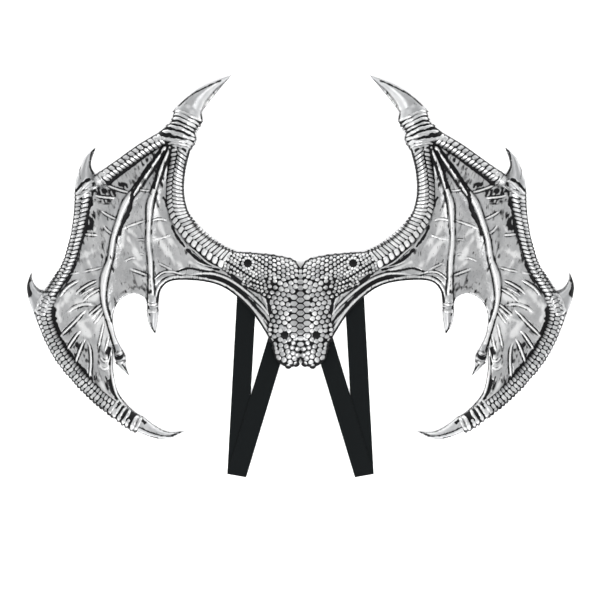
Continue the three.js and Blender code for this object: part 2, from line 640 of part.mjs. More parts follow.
// The strap behind one wing (side is 1 or -1): down from the upper rivet to a flat fold, and back up to the
// lower rivet.
function strapSections(side) {
  const up = new THREE.Vector3(0, 0, 1);
  const upper = new THREE.Vector3(side * rivets.upper.x, rivets.upper.y, 0);
  const lower = new THREE.Vector3(side * (rivets.lower.x + STRAP_ASIDE), rivets.lower.y, 0);
  const lean = THREE.MathUtils.degToRad(STRAP_LEAN);
  const down = new THREE.Vector3(side * Math.sin(lean), -Math.cos(lean), 0);
  const fold = upper.clone().addScaledVector(down, STRAP_DROP);
  const back = lower.clone().sub(fold).normalize();
  const atRivet = SOCKET_HEIGHT + GAP + STRAP_THICKNESS / 2;
  const onSurface = STRAP_THICKNESS / 2;
  const onOuterRun = onSurface + STRAP_THICKNESS + GAP;

  const section = (middle, across, out) => ({
    middle,
    across: across.clone().multiplyScalar(STRAP_WIDTH / 2),
    out: out.clone().multiplyScalar(STRAP_THICKNESS / 2),
  });
  const sections = [];
  const outerAcross = down.clone().cross(up).negate();
  const slopeSteps = 5;
  const outerPoint = (along, z) => upper.clone().addScaledVector(down, along).setZ(z);
  sections.push(section(outerPoint(-STRAP_TAB, atRivet), outerAcross, up));
  for (let i = 0; i <= slopeSteps; i++) {
    const z = THREE.MathUtils.lerp(atRivet, onSurface, smooth(i / slopeSteps));
    sections.push(section(outerPoint(STRAP_TAB + (STRAP_SLOPE * i) / slopeSteps, z), outerAcross, up));
  }

  // Both runs end on the crease, which lies square to the line that halves their angle.
  const middleLine = down.clone().negate().add(back).normalize();
  const crease = middleLine.clone().cross(up);
  const widen = 1 / crease.dot(outerAcross);
  const creaseAcross = crease.clone().multiplyScalar((STRAP_WIDTH / 2) * widen);
  const bend = (onOuterRun - onSurface) / 2;
  const foldSteps = 6;
  for (let i = 0; i <= foldSteps; i++) {
    const turn = (Math.PI * i) / foldSteps;
    const middle = fold.clone().addScaledVector(middleLine, -bend * Math.sin(turn));
    middle.z = onSurface + bend * (1 - Math.cos(turn));
    const out = middleLine.clone().multiplyScalar(Math.sin(turn)).addScaledVector(up, Math.cos(turn));
    sections.push({ middle, across: creaseAcross, out: out.multiplyScalar(STRAP_THICKNESS / 2) });
  }

  const innerAcross = back.clone().cross(up);
  const innerLength = lower.distanceTo(fold);
  const clearOfCrease = STRAP_WIDTH;
  const innerPoint = (along, z) => fold.clone().addScaledVector(back, along).setZ(z);
  const below = up.clone().negate();
  sections.push(section(innerPoint(clearOfCrease, onOuterRun), innerAcross, below));
  sections.push(section(innerPoint(innerLength - 2 * STRAP_TAB, onOuterRun), innerAcross, below));
  sections.push(section(innerPoint(innerLength - STRAP_TAB, atRivet), innerAcross, below));
  sections.push(section(innerPoint(innerLength + STRAP_TAB, atRivet), innerAcross, below));
  return sections;
}

// A closed geometry as a manifold-3d solid, and back.
function solidOf(geometry) {
  const bare = geometry.clone();
  bare.deleteAttribute('normal');
  bare.deleteAttribute('uv');
  const merged = mergeVertices(bare, 1e-4);
  return new wasm.Manifold(new wasm.Mesh({
    numProp: 3,
    vertProperties: new Float32Array(merged.attributes.position.array),
    triVerts: new Uint32Array(merged.index.array),
  }));
}

function geometryOf(solid) {
  const mesh = solid.getMesh();
  const geometry = new THREE.BufferGeometry();
  geometry.setAttribute('position', new THREE.Float32BufferAttribute(mesh.vertProperties, 3));
  geometry.setIndex(Array.from(mesh.triVerts));
  return geometry;
}

// The strap with a hole for each rivet's post.
function strapGeometry(side) {
  let strap = solidOf(ribbonGeometry(strapSections(side)));
  const height = 2 * (LIFT + STRAP_THICKNESS);
  for (const centre of Object.values(rivets)) {
    const drill = new THREE.CylinderGeometry(POST_HOLE, POST_HOLE, height, ROUND_SIDES);
    drill.rotateX(Math.PI / 2);
    drill.translate(side * centre.x, centre.y, 0);
    strap = strap.subtract(solidOf(drill));
  }
  return geometryOf(strap);
}

// Domed rivet head with its post, on its axis, with the foam's top at z = 0 and the socket's floor at -reach.
function capGeometry(reach) {
  const radius = CAP_DIAMETER / 2;
  const post = POST_DIAMETER / 2;
  const profile = [
    new THREE.Vector2(0, -reach + GAP),
    new THREE.Vector2(post, -reach + GAP),
    new THREE.Vector2(post, GAP),
    new THREE.Vector2(radius, GAP),
    new THREE.Vector2(radius, GAP + CAP_HEIGHT * 0.3),
    new THREE.Vector2(radius * 0.85, GAP + CAP_HEIGHT * 0.72),
    new THREE.Vector2(radius * 0.5, GAP + CAP_HEIGHT * 0.95),
    new THREE.Vector2(0, GAP + CAP_HEIGHT),
  ];
  return new THREE.LatheGeometry(profile, ROUND_SIDES).rotateX(Math.PI / 2);
}

// Flat rivet back with a blind hole that the post ends in.
function socketGeometry() {
  const radius = SOCKET_DIAMETER / 2;
  const profile = [
    new THREE.Vector2(0, 0),
    new THREE.Vector2(radius, 0),
    new THREE.Vector2(radius, SOCKET_HEIGHT),
    new THREE.Vector2(POST_HOLE, SOCKET_HEIGHT),
    new THREE.Vector2(POST_HOLE, SOCKET_FLOOR),
    new THREE.Vector2(0, SOCKET_FLOOR),
  ];
  return new THREE.LatheGeometry(profile, ROUND_SIDES).rotateX(Math.PI / 2);
}

const foil = new THREE.MeshStandardMaterial({ color: 0xb4b6b8, roughness: 0.35, metalness: 0.8 });
const elastic = new THREE.MeshStandardMaterial({ color: 0x17191a, roughness: 0.9, metalness: 0 });
const plastic = new THREE.MeshStandardMaterial({ color: 0x0c0c0d, roughness: 0.45, metalness: 0 });

function named(name, geometry, material) {
  const mesh = new THREE.Mesh(geometry, material);
  mesh.name = name;
  return mesh;
}

const wings = new THREE.Group();
wings.add(named('wing_shell', shellGeometry(), foil));
for (const [hand, side] of [['right', 1], ['left', -1]]) {
  wings.add(named(`strap_${hand}`, strapGeometry(side), elastic));
  for (const [place, centre] of Object.entries(rivets)) {
    const top = seatTop(centre);
    const cap = named(`rivet_cap_${place}_${hand}`, capGeometry(top - SOCKET_FLOOR), plastic);
    cap.position.set(side * centre.x, centre.y, top);
    const socket = named(`rivet_socket_${place}_${hand}`, socketGeometry(), plastic);
    socket.position.set(side * centre.x, centre.y, 0);
    wings.add(cap, socket);
  }
}

// The origin is the middle of the space that the wings and straps take, on the surface that they lie on.
const space = new THREE.Box3().setFromObject(wings);
wings.position.y = -(space.min.y + space.max.y) / 2;

export default wings;
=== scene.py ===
"""Costume dragon wings: moulded silver foam with scales, cuffs and claws, riveted to elastic straps.

The shell's forms are worked out in millimetres on a grid over the right wing, with x from the middle
outwards and y from the lowest claw up. The left wing is its mirror image. What a table gives in pixels was
read off the photograph, on its left wing.
"""

import json
import math

import bpy
import numpy as np
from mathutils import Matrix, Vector
from mathutils.geometry import delaunay_2d_cdt

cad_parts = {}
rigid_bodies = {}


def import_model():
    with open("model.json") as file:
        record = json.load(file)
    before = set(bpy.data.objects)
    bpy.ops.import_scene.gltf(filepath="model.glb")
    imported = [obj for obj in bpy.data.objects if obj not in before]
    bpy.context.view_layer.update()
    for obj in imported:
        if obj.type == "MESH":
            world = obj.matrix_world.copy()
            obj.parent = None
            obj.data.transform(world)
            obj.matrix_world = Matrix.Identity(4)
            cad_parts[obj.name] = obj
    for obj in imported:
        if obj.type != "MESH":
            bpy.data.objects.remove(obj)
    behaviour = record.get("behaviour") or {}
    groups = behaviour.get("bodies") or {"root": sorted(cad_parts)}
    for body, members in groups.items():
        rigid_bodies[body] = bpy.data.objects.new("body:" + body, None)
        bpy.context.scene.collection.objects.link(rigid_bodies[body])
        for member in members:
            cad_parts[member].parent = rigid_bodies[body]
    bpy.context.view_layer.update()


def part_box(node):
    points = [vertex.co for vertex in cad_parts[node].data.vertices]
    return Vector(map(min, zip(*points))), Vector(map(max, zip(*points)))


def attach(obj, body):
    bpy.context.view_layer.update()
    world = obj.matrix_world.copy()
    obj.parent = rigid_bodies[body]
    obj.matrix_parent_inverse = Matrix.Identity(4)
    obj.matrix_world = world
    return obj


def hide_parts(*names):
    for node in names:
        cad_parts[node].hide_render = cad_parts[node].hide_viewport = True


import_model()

MM = 0.001
SEED = 7
NOISE_CELLS = (97, 89)  # values of a noise pattern before it repeats

# Sizes of the CAD part, mm
WING_SPAN = 740.0
WING_HEIGHT = 492.0
WALL = 4.0
ARM_WIDTH, ARM_RISE = 28.0, 13.0
FINGER_WIDTH, FINGER_RISE = 19.0, 9.0
CLAW_WIDTH, CLAW_RISE, CUFF_RISE = 35.0, 11.0, 14.0
BODY_WIDTH, BODY_RISE = 78.0, 16.0
RIB_WIDTH, RIB_RISE = 7.0, 3.5
TENT_WIDTH, TENT_RISE = 34.0, 4.0
STRAP_WIDTH = 26.0
STRAP_DROP, STRAP_LEAN, STRAP_ASIDE = 286.0, 3.1, 7.5
STRAP_TAB, STRAP_SLOPE = 12.0, 45.0
STRAP_ROOM = 1.6
CAP_DIAMETER, CAP_HEIGHT = 11.0, 2.4
POST_DIAMETER = 4.0
SOCKET_DIAMETER, SOCKET_HEIGHT, SOCKET_FLOOR = 12.0, 2.0, 0.7
GAP = 0.3
DRAPE_NEAR, DRAPE_FAR = 95.0, 240.0
HALF_SPAN = WING_SPAN / 2
LIFT = SOCKET_HEIGHT + STRAP_ROOM + 2 * GAP
BOSS_RADIUS = SOCKET_DIAMETER / 2 + 1.5
BLEND = 3.0
HANDS = (("right", 1), ("left", -1))  # name, side of X
WEB_GRAIN = 72  # degrees from the span to the way the web's wrinkles run

# Sizes of the detail, mm
CELL = 0.6  # grid
LINE_STEP = 2.0  # points along centre lines
TOP_STEP = 1.02  # mesh on the scaled side
BACK_STEP = 4.0  # mesh on the back
EDGE_STEP = 1.3  # mesh round the outline
EDGE_ROUND = 1.5  # rounding of the shell's edge
SCALE_SINK = 1.5  # the foam under the scales lies this much lower
TUCK = 0.7  # rims of scales go this far into the foam
WELT_AT, VALLEY_AT = 4.1, 7.0  # rolled welt of the web's free edge, and the valley beside it, from the edge
WELT_RISE, VALLEY_DEPTH = 1.1, 0.5
SEAT_BLEND = 1.2  # from a rivet's flat seat to the scaled foam
HOLLOW_BLEND = 5.0  # from the outline to the full depth of the hollow back
EDGE_REACH = 9.0  # the outline matters this far in
FAR = 99.0  # distance from the edge that stands for all larger ones

# Black wash from 0 to 1 between the scales, and painted shade at the rims of the forms
SCALED_WASH, RIM_SHADE = 0.93, 0.85

# Colours, linear
# Silver from dull to bright; the bright end is reached under painted highlights.
SILVER_DULL, SILVER_BRIGHT = (0.51, 0.515, 0.52, 1), (0.90, 0.90, 0.895, 1)
BLACK_WASH = (0.012, 0.012, 0.013, 1)
FOAM_DARK, FOAM_PALE = (0.035, 0.036, 0.038, 1), (0.055, 0.056, 0.058, 1)
ELASTIC_DARK, ELASTIC_PALE = (0.0014, 0.002, 0.0023, 1), (0.005, 0.007, 0.0078, 1)
PLASTIC_DARK, PLASTIC_PALE = (0.002, 0.002, 0.0022, 1), (0.005, 0.005, 0.0055, 1)
FLOOR_TONE, SKY_TONE = (0.94, 0.94, 0.94, 1), (0.76, 0.765, 0.775, 1)

# The photograph
PHOTO_MIDDLE = 300.5  # pixel column of the wings' middle
PHOTO_LOW = 439.5  # pixel row of the lowest claw
PIXEL_MM = 1.3494
PHOTO_SIDE = 600
ROW_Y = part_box("wing_shell")[1].y / MM - WING_HEIGHT  # from y on the grid to y in the frame

# Outline of the right wing: x and y as shares of half the span and of the height. Each stretch is smooth and
# ends in a corner, where the next one starts.
OUTLINE_START = (0, 0.470)
OUTLINE = [
    # stretch, its places up to its corner
    ("shoulder", [
        (0.024, 0.492), (0.086, 0.505), (0.188, 0.513), (0.252, 0.517), (0.314, 0.541), (0.370, 0.574),
        (0.408, 0.621), (0.425, 0.673), (0.422, 0.733), (0.404, 0.791)]),
    ("cuff", [(0.380, 0.823), (0.385, 0.845), (0.358, 0.873), (0.362, 0.899)]),
    ("top claw", [(0.318, 0.942), (0.252, 1.000)]),
    ("top claw", [(0.353, 0.969), (0.407, 0.941), (0.460, 0.908)]),
    ("cuff", [(0.473, 0.871), (0.520, 0.842)]),
    ("finger", [(0.594, 0.809), (0.689, 0.758), (0.751, 0.726)]),
    ("side claw", [(0.767, 0.755), (0.749, 0.802)]),
    ("side claw", [(0.791, 0.769), (0.817, 0.718), (0.825, 0.679)]),
    ("finger", [(0.827, 0.635), (0.841, 0.558), (0.872, 0.478), (0.926, 0.405)]),
    ("spur", [(0.959, 0.414), (0.981, 0.437), (0.984, 0.458)]),
    ("spur", [(1.000, 0.421), (0.990, 0.380), (0.973, 0.345)]),
    ("finger", [(0.956, 0.310), (0.899, 0.223), (0.790, 0.128), (0.666, 0.050), (0.617, 0.021)]),
    ("low claw", [(0.599, 0.023)]),
    ("low claw", [(0.549, 0.007), (0.493, 0.000), (0.420, 0.023)]),
    ("low claw", [(0.483, 0.020), (0.534, 0.038), (0.574, 0.061)]),
    ("low edge", [(0.596, 0.070), (0.626, 0.089), (0.668, 0.130), (0.686, 0.196), (0.687, 0.262)]),
    ("second digit", [(0.679, 0.223)]),
    ("second talon", [(0.668, 0.206), (0.626, 0.174)]),
    ("second talon", [(0.640, 0.203), (0.640, 0.232)]),
    ("edge between the digits", [
        (0.659, 0.255), (0.679, 0.289), (0.686, 0.339), (0.664, 0.380), (0.613, 0.401), (0.569, 0.389),
        (0.560, 0.374)]),
    ("first digit", [(0.560, 0.339)]),
    ("first talon", [(0.552, 0.314), (0.531, 0.289)]),
    ("first talon", [(0.524, 0.319), (0.520, 0.341), (0.520, 0.374)]),
    ("web", [
        (0.511, 0.410), (0.482, 0.432), (0.398, 0.437), (0.288, 0.420), (0.191, 0.362), (0.100, 0.261)]),
    ("lobe", [(0.091, 0.222), (0.052, 0.199), (0.016, 0.203), (0, 0.222)]),
]

# Rounded forms over centre lines. half and rise are shares of the form's half width and rise.
FORMS = {
    # name: (width, rise, [(x, y, half, rise)])
    "arm": (ARM_WIDTH, ARM_RISE, [
        (0, 0.424, 2.28, 1.1), (0.086, 0.459, 1.52, 1), (0.188, 0.476, 1.28, 0.95),
        (0.268, 0.495, 1.08, 0.95), (0.341, 0.531, 1, 1), (0.403, 0.574, 1, 1), (0.445, 0.621, 0.95, 1),
        (0.457, 0.673, 0.88, 0.95), (0.452, 0.733, 0.84, 0.9), (0.436, 0.797, 0.88, 0.9)]),
    "upper finger": (FINGER_WIDTH, FINGER_RISE, [
        (0.501, 0.827, 0.99, 1), (0.571, 0.797, 0.96, 0.9), (0.662, 0.750, 0.9, 0.9),
        (0.735, 0.712, 1, 1)]),
    "lower finger": (FINGER_WIDTH, FINGER_RISE, [
        (0.790, 0.696, 1.42, 1.1), (0.798, 0.635, 1.14, 1), (0.817, 0.558, 0.97, 1),
        (0.852, 0.473, 0.95, 1), (0.914, 0.398, 1.02, 1), (0.936, 0.350, 1.05, 1), (0.922, 0.300, 1.05, 1),
        (0.873, 0.229, 1.07, 1), (0.771, 0.138, 1.07, 0.95), (0.680, 0.080, 1.1, 0.95),
        (0.600, 0.045, 1.1, 1)]),
    "cuff": (CLAW_WIDTH, CUFF_RISE, [
        (0.447, 0.800, 1.05, 0.85), (0.447, 0.829, 1.4, 0.95), (0.425, 0.857, 1.1, 1),
        (0.414, 0.882, 1.18, 0.95), (0.411, 0.901, 1.06, 0.95)]),
    "top claw": (CLAW_WIDTH, CLAW_RISE, [
        (0.411, 0.901, 1.04, 1.05), (0.381, 0.936, 0.8, 1), (0.337, 0.964, 0.51, 0.75),
        (0.294, 0.983, 0.27, 0.45), (0.252, 1, 0.05, 0.1)]),
    "side claw": (CLAW_WIDTH, CLAW_RISE, [
        (0.790, 0.706, 0.85, 0.9), (0.787, 0.737, 0.5, 0.8), (0.774, 0.775, 0.28, 0.5),
        (0.749, 0.802, 0.05, 0.1)]),
    "spur": (CLAW_WIDTH, CLAW_RISE, [
        (0.950, 0.374, 0.93, 0.8), (0.974, 0.396, 0.54, 0.75), (0.988, 0.426, 0.23, 0.45),
        (0.984, 0.458, 0.05, 0.1)]),
    "low claw": (CLAW_WIDTH, CLAW_RISE, [
        (0.587, 0.042, 0.62, 0.85), (0.542, 0.022, 0.46, 0.75), (0.494, 0.011, 0.3, 0.6),
        (0.454, 0.014, 0.18, 0.35), (0.420, 0.023, 0.04, 0.1)]),
    "first talon": (CLAW_WIDTH, CLAW_RISE, [
        (0.541, 0.385, 0.38, 0.45), (0.540, 0.339, 0.44, 0.6), (0.538, 0.314, 0.28, 0.45),
        (0.531, 0.289, 0.04, 0.1)]),
    "second talon": (CLAW_WIDTH, CLAW_RISE, [
        (0.666, 0.250, 0.38, 0.45), (0.656, 0.212, 0.42, 0.6), (0.645, 0.194, 0.25, 0.45),
        (0.626, 0.174, 0.04, 0.1)]),
    "body": (BODY_WIDTH, BODY_RISE, [
        (0, 0.445, 0.62, 0.85), (0, 0.410, 0.9, 1), (0, 0.360, 1, 1), (0, 0.310, 0.97, 0.95)]),
    "lobe": (BODY_WIDTH, BODY_RISE, [
        (0.045, 0.330, 0.62, 0.85), (0.050, 0.275, 0.64, 0.9), (0.052, 0.240, 0.58, 0.8)]),
}
SCALED_FORMS = {
    # form: mm at the start and at the end of its line that carry no scales
    "arm": (-9, 3), "upper finger": (5, 9), "lower finger": (12, 31), "body": (-9, -9), "lobe": (-9, -9),
}

# Bare bones across the web, as shares like the forms.
RIBS = {
    # name: [(x, y, half, rise)]
    "first rib": [
        (0.476, 0.799, 0.63, 1), (0.510, 0.736, 0.77, 1), (0.538, 0.673, 1, 1), (0.548, 0.647, 1.3, 1.3),
        (0.553, 0.595, 0.95, 1), (0.555, 0.542, 0.86, 1), (0.548, 0.490, 1, 1.1), (0.546, 0.437, 1, 1),
        (0.543, 0.380, 1.5, 1.1)],
    "second rib": [
        (0.494, 0.799, 0.86, 1), (0.545, 0.747, 1, 1), (0.593, 0.694, 1.09, 1.1), (0.635, 0.652, 1.4, 1.4),
        (0.663, 0.600, 1.09, 1.1), (0.684, 0.548, 1, 1), (0.695, 0.495, 1.09, 1.1), (0.716, 0.443, 1.5, 1.5),
        (0.719, 0.383, 0.9, 1), (0.705, 0.336, 0.8, 1), (0.682, 0.287, 1, 1), (0.662, 0.240, 1.5, 1)],
}

RIVETS = {"upper": (0.191, 0.483), "lower": (0.058, 0.287)}

# Creases and veins of the web, each with a bright crest and black wash beside it.
CREASES = [
    # pixels along the crest, half width mm, rise mm, wash
    ([(104, 184), (118, 189.5), (130.5, 193)], 1.9, 1.8, 0.9),
    ([(93.5, 195.5), (104, 197.2), (116, 198)], 1.8, 1.6, 1.0),
    ([(100, 210.5), (108, 215.5), (117.5, 220)], 1.7, 1.4, 0.8),
    ([(103, 225), (107, 230.5), (112.5, 234)], 1.7, 1.4, 0.8),
    ([(82.5, 233.5), (90, 234.7), (98, 235)], 1.8, 1.4, 0.8),
    ([(151, 220.3), (160, 219), (168.4, 220.8)], 1.5, 1.2, 0.6),
    ([(147.3, 219.8), (134, 224), (121, 229)], 1.5, 1.2, 0.6),
    ([(151.5, 239.4), (161, 238), (172.2, 234.1)], 1.4, 1.1, 0.5),
    ([(138.5, 189.6), (144, 190.4), (150.5, 190.8)], 1.4, 1.2, 0.7),
    ([(81, 272), (91, 270), (103, 267)], 1.5, 1.6, 0.7),
    ([(66, 275), (73, 273.5), (81, 272)], 1.3, 1.0, 0.4),
    ([(58, 298), (66, 288), (80, 279)], 2.2, 1.4, 0.5),
    ([(74, 295), (81.5, 288.7), (90, 283.5), (98.5, 279.8)], 1.9, 2.0, 0.9),
    ([(77, 298), (86, 291.5), (99, 285)], 1.2, 1.0, 0.9),
    ([(81, 303), (89, 295.2), (101.5, 287.8)], 1.8, 2.0, 1.0),
    ([(65, 314), (74, 307.5), (85, 304.2), (96, 305.5)], 2.2, 1.4, 0.35),
    ([(57.5, 338.5), (71, 325.5), (86, 309.5)], 2.0, 2.4, 0.8),
    ([(65.5, 351.5), (73, 340), (80, 330)], 2.0, 2.2, 1.0),
    ([(73.7, 367), (79, 352), (85, 337.5)], 2.0, 2.2, 1.0),
    ([(88.5, 382), (90.5, 366), (90, 350), (87, 340)], 2.0, 2.2, 0.8),
    ([(87, 316.5), (94, 310.5), (103, 303)], 1.6, 1.8, 1.0),
    ([(90, 320), (96, 313.5), (103.5, 306.5)], 1.2, 1.0, 0.8),
    ([(93, 324.5), (98, 318.5), (104, 310)], 1.6, 1.8, 1.0),
    ([(97.5, 350), (100.5, 336), (104, 320)], 1.6, 1.9, 1.0),
    ([(104, 353), (107, 343), (109, 333)], 1.5, 1.4, 0.8),
    ([(107, 366), (110, 355), (113.5, 344)], 1.5, 1.4, 0.9),
    ([(100, 357), (104, 361.5), (108.5, 360)], 1.6, 1.4, 0.5),
    ([(99, 366), (104, 369.5), (108, 367)], 1.6, 1.4, 0.5),
    ([(128, 268.5), (138, 272), (148.5, 276)], 1.8, 1.4, 0.5),
    ([(136, 240), (140.5, 239.6), (145, 240)], 1.2, 0.9, 0.7),
    ([(137, 254.5), (141, 254), (145, 255.5)], 1.2, 0.9, 0.7),
    ([(122, 262), (130, 258.5), (137, 257.5)], 1.3, 0.9, 0.5),
    ([(152, 281), (163, 272.5), (173, 272), (184, 275)], 1.4, 1.3, 0.7),
    ([(156, 262), (164, 266), (174, 271)], 1.4, 0.9, 0.5),
    ([(113, 345), (111.5, 360), (111.8, 375), (117, 396), (130, 412)], 2.0, 1.9, 0.4),
    ([(124, 300), (131, 296), (140, 297.5)], 1.5, 0.9, 0.3),
    ([(186, 244), (196, 252), (207, 262), (222, 269.5)], 1.6, 1.5, 0.9),
    ([(192.5, 260), (205, 265), (220, 268.8)], 1.3, 1.2, 0.8),
    ([(186, 274.8), (200, 273.6), (212, 273.6), (222, 276.5), (232, 281.2), (246, 291.2), (256, 300),
      (265, 309.5), (272.7, 320.5)], 2.3, 2.6, 0.5),
]

# Furrows that hold black wash.
FURROWS = [
    # pixels along the bottom, half width mm, depth mm, wash
    ([(206, 277.5), (214, 278), (222, 280), (230, 284)], 2.7, 2.2, 1.0),
    ([(228, 283), (238, 290), (249, 299.5), (257, 308)], 2.0, 1.8, 1.0),
    ([(255, 306), (262, 314), (268, 322), (273, 330)], 1.4, 1.2, 1.0),
    ([(175.5, 272.5), (186, 268.5), (200, 270), (216, 272.5)], 1.6, 0.8, 0.7),
    ([(165, 150), (160, 162), (156.5, 176), (154, 190)], 1.7, 0.9, 0.9),
    ([(161.5, 150), (150, 166), (140, 181), (131, 196)], 1.8, 1.2, 0.75),
    ([(133.5, 188), (131.5, 200), (129, 211), (123.5, 222), (118.5, 236)], 2.2, 1.2, 1.0),
    ([(91, 199), (86.5, 209), (84.5, 222), (80, 239), (75.5, 252)], 4.2, 1.8, 1.0),
    ([(75, 262), (70.5, 272), (66, 282)], 2.1, 1.4, 1.0),
    ([(55, 306), (52.5, 314), (54, 326), (59, 338)], 4.4, 2.0, 1.0),
    ([(56, 334), (66, 350), (78, 366), (92, 383)], 3.4, 1.8, 1.0),
    ([(171, 148), (169, 165), (167.5, 190), (168, 204), (171, 217)], 1.9, 1.2, 1.0),
    ([(171.3, 225), (176.3, 235.5), (185, 247.3)], 1.5, 1.2, 1.0),
    ([(186, 248.3), (195.3, 257.2), (206.5, 265), (220, 270.2)], 1.8, 1.6, 1.0),
    ([(267, 297), (269.5, 308), (271.5, 320), (272.8, 332), (273.6, 343)], 1.9, 1.6, 1.0),
    ([(243, 285.5), (254, 290.3), (263, 295), (269.5, 300.5)], 1.4, 1.0, 1.0),
    ([(223, 268), (232, 275.5), (242, 283)], 2.2, 1.2, 1.0),
    ([(178, 276), (190, 277.3), (206, 277.5)], 1.3, 0.6, 0.7),
    ([(109, 346), (109, 358), (109.5, 366)], 2.2, 1.4, 1.0),
    ([(108.5, 379), (112, 391), (118, 401)], 1.9, 1.4, 1.0),
    ([(106, 186), (118, 176), (132, 165.5), (146, 155), (158, 147)], 1.6, 1.2, 0.6),
    ([(106, 318), (108.5, 330), (112.5, 343), (116, 352)], 1.2, 0.8, 0.9),
    ([(75, 192), (80, 187), (84, 183), (91, 178.5)], 1.8, 1.6, 1.0),
    ([(150.5, 322), (152.5, 328), (155, 333)], 0.9, 0.5, 0.9),
    ([(122, 364), (125.5, 369), (128.5, 375)], 0.9, 0.5, 1.0),
    ([(29.8, 272.5), (27.6, 281), (27.8, 290), (31, 298)], 3.4, 0.6, 1.0),
    ([(138.5, 426.5), (150, 431.8), (162, 435.2), (173, 436.2)], 0.8, 0.5, 0.9),
    ([(137.5, 432), (147, 436), (158, 438)], 0.9, 0.4, 0.9),
    ([(140.5, 418.5), (143, 420.5), (146.5, 424)], 1.7, 0.6, 1.0),
    ([(94.5, 147), (91.6, 152.5), (90, 161), (90.3, 168.5), (93, 173.5)], 0.9, 0.4, 0.8),
    ([(80.4, 165.5), (79.7, 173), (81.5, 180)], 0.8, 0.4, 0.6),
    ([(76, 191.7), (82, 190.6), (90, 190)], 1.0, 0.7, 0.9),
    ([(86, 182.3), (94, 182.8), (98.5, 184)], 0.9, 0.6, 0.9),
    ([(93, 182), (92.4, 189), (92, 195.5)], 1.0, 0.6, 0.9),
    ([(114, 357.6), (118.5, 358.3), (123.6, 355.6)], 1.9, 0.7, 1.0),
    ([(178, 107), (190, 97), (205, 88.5), (222, 80.5)], 1.1, 0.4, 0.7),
    ([(38.5, 308), (36.5, 311), (34.5, 313)], 1.3, 0.9, 1.0),
]

